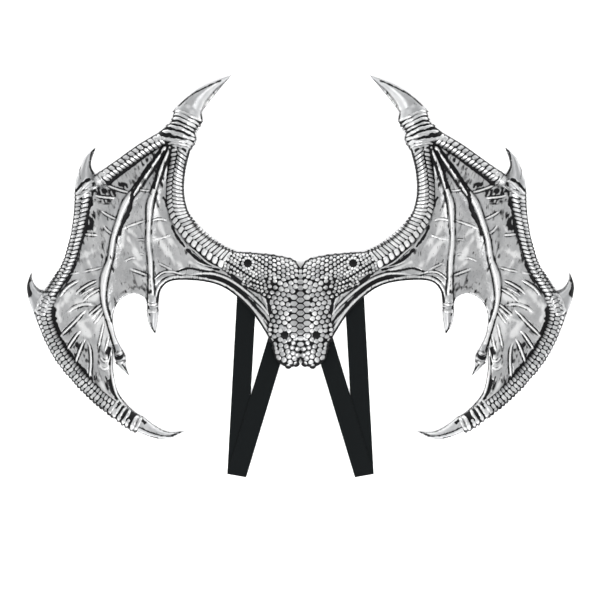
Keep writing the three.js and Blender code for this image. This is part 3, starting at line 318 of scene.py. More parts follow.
# Black wash that was left on the web and the claws, without a furrow.
STAINS = [
    # pixels along it, half width mm, wash
    ([(134, 171), (145, 161), (157, 151)], 4.5, 0.6),
    ([(117, 183), (124, 185), (131, 186)], 3.6, 0.95),
    ([(90, 189), (102, 190.5), (116, 193)], 3.6, 1.0),
    ([(91, 200), (100, 200.5), (112, 200)], 2.6, 0.9),
    ([(118, 176), (126, 173), (134, 171)], 5.0, 0.45),
    ([(146, 172), (149, 168), (152, 164)], 3.0, 0.8),
    ([(140, 200), (141, 228), (143, 252)], 3.5, 0.25),
    ([(166, 147), (176, 149), (188, 151.5)], 3.0, 0.9),
    ([(168, 436.5), (176, 434), (184, 430)], 1.2, 0.8),
    ([(172, 278.5), (190, 277.5), (210, 279.5), (226, 286), (236, 293)], 2.2, 0.7),
    ([(118, 296), (126, 289), (136, 286.5), (142, 290)], 2.0, 0.6),
    ([(147, 318), (148.5, 326), (153, 333)], 1.6, 0.7),
    ([(96, 193), (106, 194), (116, 196)], 2.2, 0.9),
    ([(105, 300), (108, 308), (110, 316)], 1.8, 0.6),
    ([(107, 348), (106, 357), (105, 364)], 2.6, 0.9),
    ([(123, 281), (124, 288), (125, 294)], 4.0, 0.7),
    ([(93, 213), (91, 222), (90, 231)], 4.5, 0.9),
    ([(84, 240), (82, 252), (78, 264)], 3.5, 0.5),
    ([(103, 240), (102, 252), (106, 265)], 3.6, 0.5),
    ([(112, 203), (108, 212), (108, 222)], 4.0, 0.5),
    ([(63, 342), (70, 351), (77, 361)], 4.2, 0.95),
    ([(96, 343), (100, 355), (98, 366)], 3.2, 0.6),
    ([(104, 376), (107, 386), (111, 394)], 2.6, 0.8),
    ([(90, 374), (95, 383), (100, 390)], 3.0, 0.4),
    ([(116, 351), (119, 355), (122, 358)], 3.6, 0.8),
    ([(149, 280), (149.5, 290), (150, 298)], 3.2, 0.95),
    ([(147.5, 303), (148, 310), (149, 317)], 2.8, 0.9),
    ([(140, 276), (146, 283), (150, 290)], 3.6, 0.6),
    ([(63, 304), (69, 293), (76, 285)], 3.5, 0.4),
    ([(126, 166), (136, 160), (148, 152)], 5.0, 0.5),
    ([(112, 181), (124, 176), (138, 170)], 6.0, 0.35),
    ([(120, 188), (132, 180), (143, 172)], 5.0, 0.4),
    ([(146, 178), (142, 186), (139, 194)], 4.0, 0.5),
    ([(161, 158), (157, 172), (154, 184)], 4.0, 0.6),
    ([(166, 160), (163, 176), (161, 190)], 2.2, 0.7),
    ([(163, 196), (166, 201), (167, 207)], 2.4, 0.8),
    ([(155, 197), (157.5, 203), (158, 209)], 2.2, 0.7),
    ([(96, 202), (104, 203), (112, 203)], 2.6, 0.6),
    ([(116, 203), (112, 209), (108, 212)], 2.0, 0.4),
    ([(125, 270), (127, 280), (128, 290)], 3.2, 0.45),
    ([(140, 285), (145, 290), (148, 295)], 3.0, 0.5),
    ([(156, 276), (163, 272), (168, 270)], 2.2, 0.5),
    ([(63, 338), (67, 334), (72, 330)], 2.4, 0.5),
    ([(71, 357), (74, 350), (78, 342)], 3.4, 0.8),
    ([(80, 366), (83, 356), (86, 348)], 3.0, 0.6),
    ([(92, 385), (93, 378), (93, 370)], 2.8, 0.4),
    ([(84, 374), (86, 366), (87, 358)], 2.4, 0.6),
    ([(98, 384), (100, 376), (101, 370)], 2.4, 0.3),
    ([(98, 352), (102, 345), (106, 340)], 2.2, 0.5),
    ([(230, 279), (246, 287.5), (260, 300), (269, 312)], 3.4, 0.4),
    ([(192, 255), (204, 262), (216, 268)], 2.8, 0.6),
    ([(180, 262), (190, 266), (202, 269)], 2.4, 0.4),
    ([(186, 103), (196, 96), (208, 88)], 1.4, 0.25),
    ([(180, 108), (186, 105), (190, 102)], 1.4, 0.35),
    ([(216, 96), (222, 88), (229, 78)], 1.0, 0.5),
    ([(84, 175), (86, 166), (91, 155)], 1.4, 0.25),
    ([(92, 152), (94.5, 148)], 1.3, 0.8),
    ([(78, 186), (79, 178), (81, 170)], 1.2, 0.25),
    ([(150, 434), (162, 436.5), (176, 434)], 1.2, 0.35),
    ([(140, 425), (148, 430), (158, 433)], 1.4, 0.35),
    ([(148, 424), (158, 429.5), (170, 432)], 1.1, 0.5),
]

# Broad places of the web given painted highlights: lighter, less metallic silver with less black wash.
PAINTED_HIGHLIGHTS = [
    # pixels along it, half width mm
    ([(157, 240), (163, 248), (170, 256), (180, 266)], 7.0),
    ([(202, 109), (208, 101), (217, 91)], 2.6),
    ([(72, 262), (84, 256), (96, 250)], 6.0),
    ([(88, 262), (95, 274)], 5.0),
    ([(92, 234), (97, 226)], 4.0),
    ([(128, 238), (134, 248), (139, 258)], 5.0),
    ([(60, 300), (57, 310), (60, 322)], 3.5),
    ([(168, 238), (176, 246)], 4.0),
    ([(61, 305), (67, 297), (75, 290)], 7.0),
    ([(70, 312), (78, 304), (86, 298)], 8.0),
    ([(88, 299), (95, 297), (101, 294)], 7.0),
    ([(84, 312), (92, 318), (97, 324), (94, 334)], 11.0),
    ([(78, 322), (84, 328), (90, 336)], 8.0),
    ([(102, 330), (105, 345), (107, 355)], 6.0),
    ([(100, 366), (104, 369), (108, 366)], 3.5),
    ([(82, 322), (90, 318), (98, 312)], 6.0),
    ([(84, 296), (92, 292), (100, 296)], 5.0),
    ([(104, 318), (106, 330), (110, 342)], 5.0),
    ([(112, 378), (108, 368), (106, 358)], 4.0),
    ([(100, 378), (106, 392), (114, 402)], 3.5),
    ([(155, 205), (158, 215), (160, 228)], 5.0),
    ([(118, 222), (123, 232), (122, 246)], 5.0),
    ([(160, 228), (166, 236), (172, 246)], 5.0),
    ([(190, 262), (200, 267), (210, 271)], 3.0),
    ([(127, 228), (136, 236)], 4.0),
    ([(134, 262), (142, 268)], 4.0),
]


def photo_point(column, row):
    """Grid x and y of a pixel on the photograph's left wing."""
    return (PHOTO_MIDDLE - column) * PIXEL_MM, (PHOTO_LOW - row) * PIXEL_MM


def smooth(t):
    """From 0 to 1 with a soft start and end."""
    c = np.clip(t, 0.0, 1.0)
    return c * c * (3 - 2 * c)


def curve_through(rows, step):
    """Centripetal Catmull-Rom curve through rows whose first two columns are x and y, about step apart."""
    p = np.array(rows, float)
    p = np.vstack([2 * p[0] - p[1], p, 2 * p[-1] - p[-2]])
    out = []
    for a, b, c, d in zip(p, p[1:], p[2:], p[3:]):
        g0, g1, g2 = (max(math.sqrt(math.dist(u[:2], v[:2])), 1e-3) for u, v in ((a, b), (b, c), (c, d)))
        start = g1 * ((b - a) / g0 - (c - a) / (g0 + g1) + (c - b) / g1)
        end = g1 * ((c - b) / g1 - (d - b) / (g1 + g2) + (d - c) / g2)
        steps = max(2, round(math.dist(b[:2], c[:2]) / step))
        t = np.arange(steps)[:, None] / steps
        square, cube = 3 * (c - b) - 2 * start - end, 2 * (b - c) + start + end
        out.append(b + start * t + square * t**2 + cube * t**3)
    return np.vstack([*out, p[-2]])


def pixel_line(points, *columns):
    """Curve through pixels of the photograph, with the same further columns in every row."""
    return curve_through([(*photo_point(*p), *columns) for p in points], LINE_STEP)


# The grid. GX and GY are every cell's place.
GRID_X = np.arange(-6.0, HALF_SPAN + 6, CELL)
GRID_Y = np.arange(-6.0, WING_HEIGHT + 6, CELL)
GX, GY = np.meshgrid(GRID_X, GRID_Y)


def window(low, high):
    """The part of the grid between two corners."""
    x0, x1 = np.searchsorted(GRID_X, [low[0], high[0]])
    y0, y1 = np.searchsorted(GRID_Y, [low[1], high[1]])
    return slice(y0, y1), slice(x0, x1)


class Near:
    """Where each cell within reach of a line lies from it."""

    def __init__(self, line, reach):
        """line's columns are x, y, half width and rise."""
        self.where = window(line[:, :2].min(0) - reach, line[:, :2].max(0) + reach)
        shape = GX[self.where].shape
        self.distance = np.full(shape, np.inf)
        self.half = np.ones(shape)
        self.rise = np.zeros(shape)
        self.along = np.zeros(shape)
        self.side = np.zeros(shape)
        top, left = self.where[0].start, self.where[1].start
        done = 0.0
        for a, b in zip(line, line[1:]):
            sub = window(np.minimum(a, b)[:2] - reach, np.maximum(a, b)[:2] + reach)
            x, y = GX[sub] - a[0], GY[sub] - a[1]
            d = b - a
            length = math.hypot(d[0], d[1])
            t = np.clip((x * d[0] + y * d[1]) / max(length**2, 1e-9), 0, 1)
            px, py = x - t * d[0], y - t * d[1]
            distance = np.hypot(px, py)
            here = tuple(slice(s.start - o, s.stop - o) for s, o in zip(sub, (top, left)))
            closer = distance < self.distance[here]
            for field, value in (
                (self.distance, distance), (self.half, a[2] + t * d[2]), (self.rise, a[3] + t * d[3]),
                (self.along, done + t * length), (self.side, d[0] * py - d[1] * px),
            ):
                field[here] = np.where(closer, value, field[here])
            done += length
        self.length = done
        self.from_end = np.minimum(self.along, done - self.along)
        self.share = self.distance / self.half


def blur(field, radius):
    """Two box blurs with an even kernel of that radius in mm."""
    n = max(1, round(radius / CELL))
    for _ in range(2):
        for axis in (0, 1):
            edge = [(n + 1, n) if a == axis else (0, 0) for a in (0, 1)]
            total = np.cumsum(np.pad(field, edge, mode="edge"), axis=axis)
            first = np.arange(total.shape[axis] - 2 * n - 1)
            low, high = (np.take(total, first + o, axis=axis) for o in (0, 2 * n + 1))
            field = (high - low) / (2 * n + 1)
    return field


def noise(x, y, size, seed):
    """Smooth value noise from -1 to 1 with features about size across."""
    nu, nv = NOISE_CELLS
    values = np.random.default_rng(SEED * 1000 + seed).uniform(-1, 1, NOISE_CELLS)
    u, v = np.asarray(x) / size, np.asarray(y) / size
    iu, iv = np.floor(u).astype(int), np.floor(v).astype(int)
    fu, fv = smooth(u - iu), smooth(v - iv)

    def at(a, b):
        return values[a % nu, b % nv]

    low = at(iu, iv) * (1 - fu) + at(iu + 1, iv) * fu
    high = at(iu, iv + 1) * (1 - fu) + at(iu + 1, iv + 1) * fu
    return low * (1 - fv) + high * fv


def turned(angle):
    """The grid's places in axes turned by an angle in degrees: along the angle, and across it."""
    a = math.radians(angle)
    return GX * math.cos(a) + GY * math.sin(a), GY * math.cos(a) - GX * math.sin(a)


def sample(field, x, y):
    """Values of a grid field at any places."""
    u = np.clip((np.asarray(x) - GRID_X[0]) / CELL, 0, len(GRID_X) - 1.001)
    v = np.clip((np.asarray(y) - GRID_Y[0]) / CELL, 0, len(GRID_Y) - 1.001)
    iu, iv = u.astype(int), v.astype(int)
    fu, fv = u - iu, v - iv
    low = field[iv, iu] * (1 - fu) + field[iv, iu + 1] * fu
    high = field[iv + 1, iu] * (1 - fu) + field[iv + 1, iu + 1] * fu
    return low * (1 - fv) + high * fv


def outline_loop():
    """Points round the right wing at even steps, and the stretch of the outline that each belongs to."""
    points, parts = [], []
    corner = OUTLINE_START
    for part, places in OUTLINE:
        fine = curve_through([(x * HALF_SPAN, y * WING_HEIGHT) for x, y in (corner, *places)], 0.3)
        lengths = np.concatenate([[0], np.cumsum(np.hypot(*np.diff(fine, axis=0).T))])
        steps = max(1, round(lengths[-1] / EDGE_STEP))
        at = np.arange(steps) / steps * lengths[-1]
        points.append(np.column_stack([np.interp(at, lengths, fine[:, k]) for k in (0, 1)]))
        parts += [part] * steps
        corner = places[-1]
    top, bottom = points[0][0], np.array([0.0, corner[1] * WING_HEIGHT])
    steps = round(math.dist(top, bottom) / EDGE_STEP)
    points.append(bottom + (top - bottom) * np.arange(steps)[:, None] / steps)
    parts += ["middle"] * steps
    return np.vstack(points), parts


LOOP, LOOP_PARTS = outline_loop()


def inside_loop(x, y):
    """Whether places lie inside the wing's outline."""
    inside = np.zeros(np.shape(x), bool)
    for a, b in zip(np.roll(LOOP, 1, axis=0), LOOP):
        if a[1] == b[1]:
            continue
        crosses = ((a[1] > y) != (b[1] > y)) & (x < (b[0] - a[0]) * (y - a[1]) / (b[1] - a[1]) + a[0])
        inside ^= crosses
    return inside


def centre_line(width, rise, rows):
    """A form's centre line with its half width and rise in mm."""
    points = [(x * HALF_SPAN, y * WING_HEIGHT, half * width / 2, r * rise) for x, y, half, r in rows]
    return curve_through(points, LINE_STEP)


LINES = {name: centre_line(*form) for name, form in FORMS.items()}
LINES |= {name: centre_line(RIB_WIDTH, RIB_RISE, rows) for name, rows in RIBS.items()}
# The corner between the shoulder, the body and the web, which beads cover too
CORNER_HALF_WIDTH = 4.2
BEADED_CORNER = pixel_line([
    (246, 281.5), (256, 286), (264, 290.5), (270, 297), (275, 294), (268, 287), (260, 282)],
    CORNER_HALF_WIDTH, 0)
RIVET_PLACES = [(x * HALF_SPAN, y * WING_HEIGHT) for x, y in RIVETS.values()]


def drape(x):
    """How far the foam's back stands off the floor, over the rivets' backs in the middle."""
    return LIFT * (1 - smooth((np.abs(x) - DRAPE_NEAR) / (DRAPE_FAR - DRAPE_NEAR)))


CUFFED = [
    # form, from and to along its line mm, wash between the rolled folds
    ("cuff", 2, 46, 0.85), ("lower finger", 318, 400, 0.95), ("upper finger", -9, 6, 0.7),
    ("upper finger", 91, 115, 0.8),
]


def raise_to(field, where, value):
    """Lifts a field to a value where it is less."""
    field[where] = np.maximum(field[where], value)


def near_form(name):
    return Near(LINES[name], LINES[name][:, 2].max() + 4)


class Relief:
    """Height and black wash over the grid."""

    def __init__(self):
        self.form = np.zeros(GX.shape)  # big hollow forms
        self.scaled = np.zeros(GX.shape)  # 1 where scales cover the foam
        self.fine = np.zeros(GX.shape)  # ridges, creases and furrows on the scaled side
        self.wash = np.zeros(GX.shape)
        self.bare = np.ones(GX.shape)  # 1 on the web, 0 on the forms
        self.satin = np.zeros(GX.shape)  # 1 on the claws
        self.add_forms()
        self.add_ribs()
        self.add_web()
        self.add_cuffs()
        self.add_lines()
        self.add_edges()
        self.add_surfaces()
        self.add_shine()

    def add_forms(self):
        """Rounded forms, and where scales and satin claws lie on them."""
        for name in FORMS:
            near = near_form(name)
            w = near.where
            raise_to(self.form, w, near.rise * np.maximum(0, 1 - near.share**2))
            self.bare[w] = np.minimum(self.bare[w], smooth((near.share - 0.96) / 0.12))
            if name in SCALED_FORMS:
                first, last = SCALED_FORMS[name]
                ends = smooth((near.along - first) / 3) * smooth((near.length - last - near.along) / 3)
                raise_to(self.scaled, w, ends * smooth((1.0 - near.share) / 0.12))
        near = Near(BEADED_CORNER, 8)
        w = near.where
        self.bare[w] = np.minimum(self.bare[w], smooth((near.share - 0.96) / 0.12))
        raise_to(self.scaled, w, smooth((1.0 - near.share) / 0.12))
        for name in ("cuff", "top claw", "side claw", "spur", "low claw", "first talon", "second talon"):
            near = near_form(name)
            w = near.where
            clear = smooth((near.share - 0.9) / 0.15)
            if name == "cuff":
                clear = np.maximum(clear, smooth((6 - near.along) / 3))
            self.scaled[w] *= clear
            if name != "cuff":
                raise_to(self.satin, w, smooth((1.05 - near.share) / 0.2))
        for name in RIBS:
            near = Near(LINES[name], TENT_WIDTH / 2)
            w = near.where
            tent = TENT_RISE * np.maximum(0, 1 - near.distance / (TENT_WIDTH / 2)) ** 2
            raise_to(self.form, w, tent)

    def add_ribs(self):
        """Bare bones with a slight groove along their top, and black wash beside them that paints the shade
        under their edges.
        """
        for name in RIBS:
            near = Near(LINES[name], 14)
            w = near.where
            s = near.share
            flat_top = np.maximum(0, 1 - s**3) * (1 - 0.22 * np.exp(-(s / 0.35) ** 2))
            raise_to(self.fine, w, near.rise * flat_top)
            hollow = 1 - smooth((near.along - 35) / 50)
            reach = 0.7 + 0.9 * hollow
            beside = np.exp(-(((near.distance - near.half - 0.8 * reach) / reach) ** 2))
            patchy = 0.3 + 0.45 * hollow + 0.85 * noise(GX[w], GY[w], 7, 11)
            self.fine[w] -= 0.8 * beside * (s > 0.9)
            # Painted shade of the undercut, as black wash beside the bone.
            raise_to(self.wash, w, beside * np.clip(patchy, 0, 1))
            self.wash[w] *= 1 - 0.9 * smooth((0.95 - s) / 0.15)

    def add_web(self):
        """Swells and wrinkles that break up the web's reflections."""
        along, across = turned(WEB_GRAIN)
        swell = 1.3 * noise(GX, GY, 36, 1) + 0.5 * noise(along * 0.7, across, 19, 2)
        wrinkle = 0.2 * noise(along * 0.35, across, 6.5, 3) + 0.09 * noise(GX, GY, 4.2, 4)
        self.fine += (swell + wrinkle) * self.bare
        streaks = noise(along * 0.3, across, 2.4, 5) + 0.7 * noise(along * 0.5, across, 9, 6)
        self.wash += self.bare * np.clip(0.8 * streaks - 0.38, 0, 0.6)

    def add_cuffs(self):
        """Black wash between the rolled folds."""
        for name, first, last, wash in CUFFED:
            near = near_form(name)
            w = near.where
            to_end = np.minimum(last, near.length) - near.along
            here = smooth((near.along - first) / 3) * smooth(to_end / 3) * (near.share < 1)
            raise_to(self.wash, w, wash * here)

    def add_lines(self):
        """Furrows, stains and creases, in that order, so that crests stay bright."""
        for points, half, depth, wash in FURROWS:
            line = pixel_line(points, half, depth)
            near = Near(line, half * 2.2)
            w = near.where
            ends = smooth(near.from_end / (2 * half) + 0.25)
            dip = np.exp(-((near.share / 0.8) ** 2)) * ends
            self.fine[w] -= near.rise * dip
            ragged = near.share + 0.45 * noise(GX[w], GY[w], 3.4, 21)
            raise_to(self.wash, w, wash * ends * smooth((1.35 - ragged) / 0.5))
        for points, half, wash in STAINS:
            near = Near(pixel_line(points, half, 0), half * 2)
            w = near.where
            along, across = GX[w] * 0.35 + GY[w] * 0.94, GY[w] * 0.35 - GX[w] * 0.94
            ends = smooth(near.from_end / half + 0.3)
            broken = 0.6 + 1.1 * noise(along * 0.35, across, 2.2, 22)
            stain = wash * ends * smooth((1.4 - near.share) / 0.9) * np.clip(broken, 0, 1.2)
            raise_to(self.wash, w, stain)
        for points, half, rise, wash in CREASES:
            line = pixel_line(points, half, rise)
            near = Near(line, half * 3.2)
            w = near.where
            ends = smooth(near.from_end / (0.35 * near.length) + 0.15)
            share = near.share * 1.25 / (0.45 + 0.55 * ends)
            crest = np.maximum(0, 1 - share**2) ** 0.8
            beside = np.exp(-(((share - 1.55) / 0.55) ** 2))
            self.fine[w] += near.rise * ends * (crest - 0.3 * beside)
            patchy = 0.65 + 0.7 * noise(GX[w], GY[w], 6, 23)
            raise_to(self.wash, w, wash * ends * beside * patchy)
            self.wash[w] *= 1 - ends * smooth((0.95 - share) / 0.3)

    def add_edges(self):
        """How far places lie from the outline, and the rolled welt along the web's free edge."""
        rim = np.vstack([LOOP, LOOP[:1]])
        open_rim = rim[: LOOP_PARTS.index("middle") + 1]
        near = Near(np.column_stack([open_rim, np.ones((len(open_rim), 2))]), EDGE_REACH)
        self.from_edge = np.full(GX.shape, FAR)
        self.from_edge[near.where] = np.minimum(near.distance, FAR)
        start = LOOP_PARTS.index("web")
        line = rim[start: start + LOOP_PARTS.count("web") + 1]
        near = Near(np.column_stack([line, np.ones((len(line), 2))]), EDGE_REACH)
        w, d = near.where, near.distance
        welt = np.exp(-(((d - WELT_AT) / 1.3) ** 2))
        valley = np.exp(-(((d - VALLEY_AT) / 1.5) ** 2))
        self.fine[w] += WELT_RISE * welt - VALLEY_DEPTH * valley
        self.wash[w] *= 1 - 0.8 * welt
        patchy = 0.3 + 0.5 * noise(GX[w], GY[w], 8, 25)
        # Painted shade: black along the very edge of the web.
        raise_to(self.wash, w, 0.95 * smooth((3.2 - d) / 1.4))
        in_valley = np.exp(-(((d - VALLEY_AT + 0.2) / 1.2) ** 2))
        raise_to(self.wash, w, patchy * in_valley)

    def add_surfaces(self):
        """The scaled side, with flat seats for the rivets and a rounded edge, and the hollow back."""
        top = WALL + drape(GX) + self.form - SCALE_SINK * self.scaled + self.fine
        hollow = self.form.copy()
        for x, y in RIVET_PLACES:
            away = np.hypot(GX - x, GY - y)
            seat = WALL + drape(x) + sample(self.form, x, y)
            top = seat + (top - seat) * smooth((away - CAP_DIAMETER / 2) / SEAT_BLEND)
            hollow *= smooth((away - BOSS_RADIUS) / BLEND)
        d = np.clip(self.from_edge, 0, EDGE_ROUND)
        self.top = top - EDGE_ROUND + np.sqrt(EDGE_ROUND**2 - (EDGE_ROUND - d) ** 2)
        self.back = drape(GX) + hollow * smooth(self.from_edge / HOLLOW_BLEND)

    def add_shine(self):
        """Painted highlights on crests and broad places of the web, black wash in hollows and under scales,
        and painted shade at rims.
        """
        # Painted highlight on crests that stand above the foam around them, none on the claws.
        self.polish = np.clip(0.22 + 0.12 * self.bare + 0.6 * (self.top - blur(self.top, 3.0)), 0, 1)
        self.polish *= 1 - self.satin
        for points, half in PAINTED_HIGHLIGHTS:
            near = Near(pixel_line(points, half, 0), half * 2)
            w = near.where
            along, across = (field[w] for field in turned(WEB_GRAIN))
            streaks = 0.5 * noise(GX[w], GY[w], 9, 24) + 0.4 * noise(along * 0.3, across, 3.2, 26)
            soft = smooth((1.4 - near.share + streaks) / 1.5)
            raise_to(self.polish, w, soft)
            self.wash[w] *= 1 - 0.6 * soft * self.bare[w]
        cavity = blur(self.top, 2.2) - self.top
        self.wash += np.clip(0.9 * cavity, 0, 0.5)
        # Painted shade along the outline of the forms, but not on the claws.
        rim = smooth((2.8 - self.from_edge) / 1.2) * (1 - self.bare) * (1 - self.satin)
        self.wash = np.maximum(self.wash, np.maximum(SCALED_WASH * self.scaled, RIM_SHADE * rim))
        for x, y in RIVET_PLACES:
            self.wash *= 1 - 0.5 * smooth((9.5 - np.hypot(GX - x, GY - y)) / 2)
        self.wash = np.clip(self.wash, 0, 1)


relief = Relief()


# Meshes

def hex_points(step, clear):
    """Places in the wing on an even triangular grid, clear of the outline."""
    rows = np.arange(0, WING_HEIGHT, step * math.sqrt(3) / 2)
    columns = np.arange(step / 2, HALF_SPAN, step)
    x, y = np.meshgrid(columns, rows)
    x = x + (np.arange(len(rows)) % 2)[:, None] * step / 2
    x, y = x.ravel(), y.ravel()
    far = (sample(relief.from_edge, x, y) > clear) & (x > clear)
    x, y = x[far], y[far]
    kept = inside_loop(x, y)
    return np.column_stack([x[kept], y[kept]])


def triangles_over(points):
    """Triangles of the wing over its outline and more places, facing up, and the places in their order."""
    every = np.vstack([LOOP, points])
    n = len(LOOP)
    edges = [(i, (i + 1) % n) for i in range(n)]
    corners = [Vector(p) for p in every.tolist()]
    places, _, faces, *_ = delaunay_2d_cdt(corners, edges, [], 0, 1e-6, False)
    places, faces = np.array(places, float), np.array(faces, int)
    middle = places[faces].mean(1)
    return places, faces[inside_loop(*middle.T)]


def new_object(name, data):
    obj = bpy.data.objects.new(name, data)
    bpy.context.scene.collection.objects.link(obj)
    return obj


def add_mesh(name, side, vertices, faces, materials, values, material_index=None):
    """A mesh object from places in mm on the grid, moved into the frame, with values at its points.

    side -1 makes it for the left wing, as a mirror image.
    """
    mesh = bpy.data.meshes.new(name)
    places = (np.array(vertices, float) * (side, 1, 1) + (0, ROW_Y, 0)) * MM
    mesh.from_pydata(places.tolist(), [], [tuple(f)[::side] for f in faces])
    for material in materials:
        mesh.materials.append(material)
    for key, column in values.items():
        attribute = mesh.attributes.new(key, "FLOAT", "POINT")
        attribute.data.foreach_set("value", np.asarray(column, np.float32))
    if material_index is not None:
        mesh.polygons.foreach_set("material_index", np.asarray(material_index, np.int32))
    mesh.polygons.foreach_set("use_smooth", np.full(len(mesh.polygons), True))
    mesh.update()
    mesh.validate()
    return new_object(name, mesh)


# Materials

class Nodes:
    """Short hand for one material's nodes."""

    def __init__(self, name):
        self.material = bpy.data.materials.new(name)
        self.material.use_nodes = True
        self.tree = self.material.node_tree
        self.shader = self.tree.nodes["Principled BSDF"]

    def add(self, kind, **inputs):
        node = self.tree.nodes.new(kind)
        for key, value in inputs.items():
            self.set(node.inputs[key.replace("_", " ")], value)
        return node

    def set(self, socket, value):
        if isinstance(value, bpy.types.NodeSocket):
            self.tree.links.new(value, socket)
        else:
            socket.default_value = value

    def place(self):
        return self.add("ShaderNodeTexCoord").outputs["Object"]

    def value(self, name):
        """A value that the mesh holds at its points."""
        node = self.add("ShaderNodeAttribute")
        node.attribute_name = name
        return node.outputs["Fac"]

    def noise(self, scale, detail=3.0, stretch=None, roughness=0.55):
        vector = self.place()
        if stretch:
            mapping = self.add("ShaderNodeMapping", Vector=vector, Scale=stretch)
            vector = mapping.outputs["Vector"]
        node = self.add("ShaderNodeTexNoise", Vector=vector, Scale=scale, Detail=detail, Roughness=roughness)
        return node.outputs["Fac"]

    def math(self, operation, *values):
        node = self.add("ShaderNodeMath")
        node.operation = operation
        for socket, value in zip(node.inputs, values):
            self.set(socket, value)
        return node.outputs[0]

    def plus(self, a, b):
        return self.math("ADD", a, b)

    def times(self, a, b):
        return self.math("MULTIPLY", a, b)

    def ranged(self, value, low, high, to_low=0.0, to_high=1.0):
        node = self.add("ShaderNodeMapRange", Value=value)
        for key, number in (("From Min", low), ("From Max", high), ("To Min", to_low), ("To Max", to_high)):
            node.inputs[key].default_value = number
        return node.outputs["Result"]

    def mix(self, factor, a, b):
        node = self.add("ShaderNodeMix")
        node.data_type = "RGBA"
        for socket, value in (("Factor", factor), (6, a), (7, b)):
            self.set(node.inputs[socket], value)
        return node.outputs[2]

    def bump(self, height, distance, strength=1.0, normal=None):
        node = self.add("ShaderNodeBump", Height=height, Distance=distance, Strength=strength)
        if normal:
            self.set(node.inputs["Normal"], normal)
        return node.outputs["Normal"]

    def finish(self, colour, rough, normal, **constants):
        """The material with its surface set, and further sockets of the shader with one number each."""
        for key, value in (("Base Color", colour), ("Roughness", rough), ("Normal", normal)):
            self.set(self.shader.inputs[key], value)
        for key, value in constants.items():
            self.shader.inputs[key.replace("_", " ")].default_value = value
        return self.material


def silver_foil():
    """Bright silver skin with black wash in its recesses, and painted highlights."""
    n = Nodes("silver_foil")
    wash, web, polish, satin = (n.value(name) for name in ("wash", "web", "polish", "satin"))
    speckle = n.noise(900.0, 4.0)
    smear = n.noise(160.0, 4.0)
    scratch = n.noise(520.0, 3.0, stretch=(1.0, 0.16, 1.0))
    patch = n.noise(70.0, 3.0)
    etched = n.times(n.ranged(scratch, 0.53, 0.68), n.ranged(patch, 0.42, 0.62))
    ragged = n.plus(wash, n.times(n.plus(speckle, -0.5), 0.35))
    ragged = n.plus(ragged, n.times(n.plus(smear, -0.5), 0.3))
    ragged = n.plus(ragged, n.times(n.times(etched, web), 0.55))
    black = n.ranged(ragged, 0.25, 0.7)
    # Painted highlights lighten the silver and, below, lower its metallic so that it reads whiter; noise adds
    # random tone.
    tone = n.plus(polish, n.ranged(n.noise(45.0, 3.0), 0.3, 0.7, -0.25, 0.25))
    colour = n.mix(black, n.mix(tone, SILVER_DULL, SILVER_BRIGHT), BLACK_WASH)
    metal = n.ranged(polish, 0.45, 1.0, 0.93, 0.5)
    n.set(n.shader.inputs["Metallic"], n.times(metal, n.ranged(black, 0.0, 1.0, 1.0, 0.3)))
    grain = n.ranged(n.noise(420.0, 3.0), 0.3, 0.7, 0.27, 0.38)
    rough = n.plus(grain, n.times(black, 0.25))
    rough = n.plus(rough, n.times(satin, 0.12))
    fine = n.bump(n.noise(1500.0, 2.0), 0.00012, 0.6)
    normal = n.bump(n.noise(330.0, 3.0), 0.0006, 0.55, fine)
    return n.finish(colour, rough, normal, Specular_IOR_Level=0.15)


def dark_foam():
    """Plain closed-cell foam of the back."""
    n = Nodes("dark_foam")
    cells = n.noise(1300.0, 4.0)
    tone = n.ranged(n.noise(40.0, 3.0), 0.35, 0.65)
    return n.finish(n.mix(tone, FOAM_DARK, FOAM_PALE), n.ranged(cells, 0.3, 0.7, 0.72, 0.88),
                    n.bump(cells, 0.0004, 0.7))


FOIL = silver_foil()
FOAM = dark_foam()


# Shell

def shell(side, name):
    """One half of the foam: its scaled side, its back and the edge between them."""
    top_places, top_faces = triangles_over(hex_points(TOP_STEP, TOP_STEP * 0.8))
    back_places, back_faces = triangles_over(hex_points(BACK_STEP, BACK_STEP * 0.6))
    n = len(LOOP)
    top = np.column_stack([top_places, sample(relief.top, *top_places.T)])
    back = np.column_stack([back_places, sample(relief.back, *back_places.T)])
    back[:n, 2] += 0.5
    vertices = np.vstack([top, back])
    shift = len(top)
    faces = [tuple(f) for f in top_faces]
    faces += [(a + shift, c + shift, b + shift) for a, b, c in back_faces]
    faces += [(i, (i + 1) % n, (i + 1) % n + shift, i + shift) for i in range(n)]
    kinds = [0] * len(top_faces) + [1] * (len(faces) - len(top_faces))
    values = {
        key: np.concatenate([sample(field, *top_places.T), np.full(len(back), on_back)])
        for key, field, on_back in (
            ("wash", relief.wash, 1), ("polish", relief.polish, 0), ("satin", relief.satin, 0),
            ("web", relief.bare, 0))
    }
    obj = add_mesh(name, side, vertices, faces, [FOIL, FOAM], values, kinds)
    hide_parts("wing_shell")
    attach(obj, "root")


for hand, side in HANDS:
    shell(side, f"wing_foam_{hand}")


# Scales, as closed domes that sit in the foam

# Rings from the middle out: radius, share of the rise
DOMED = [(0.42, 0.95), (0.68, 0.78), (0.86, 0.5), (0.96, 0.22), (1.0, 0.0), (0.99, None)]
FLAT = [(0.45, 0.99), (0.74, 0.95), (0.89, 0.82), (0.97, 0.5), (1.0, 0.05), (0.99, None)]


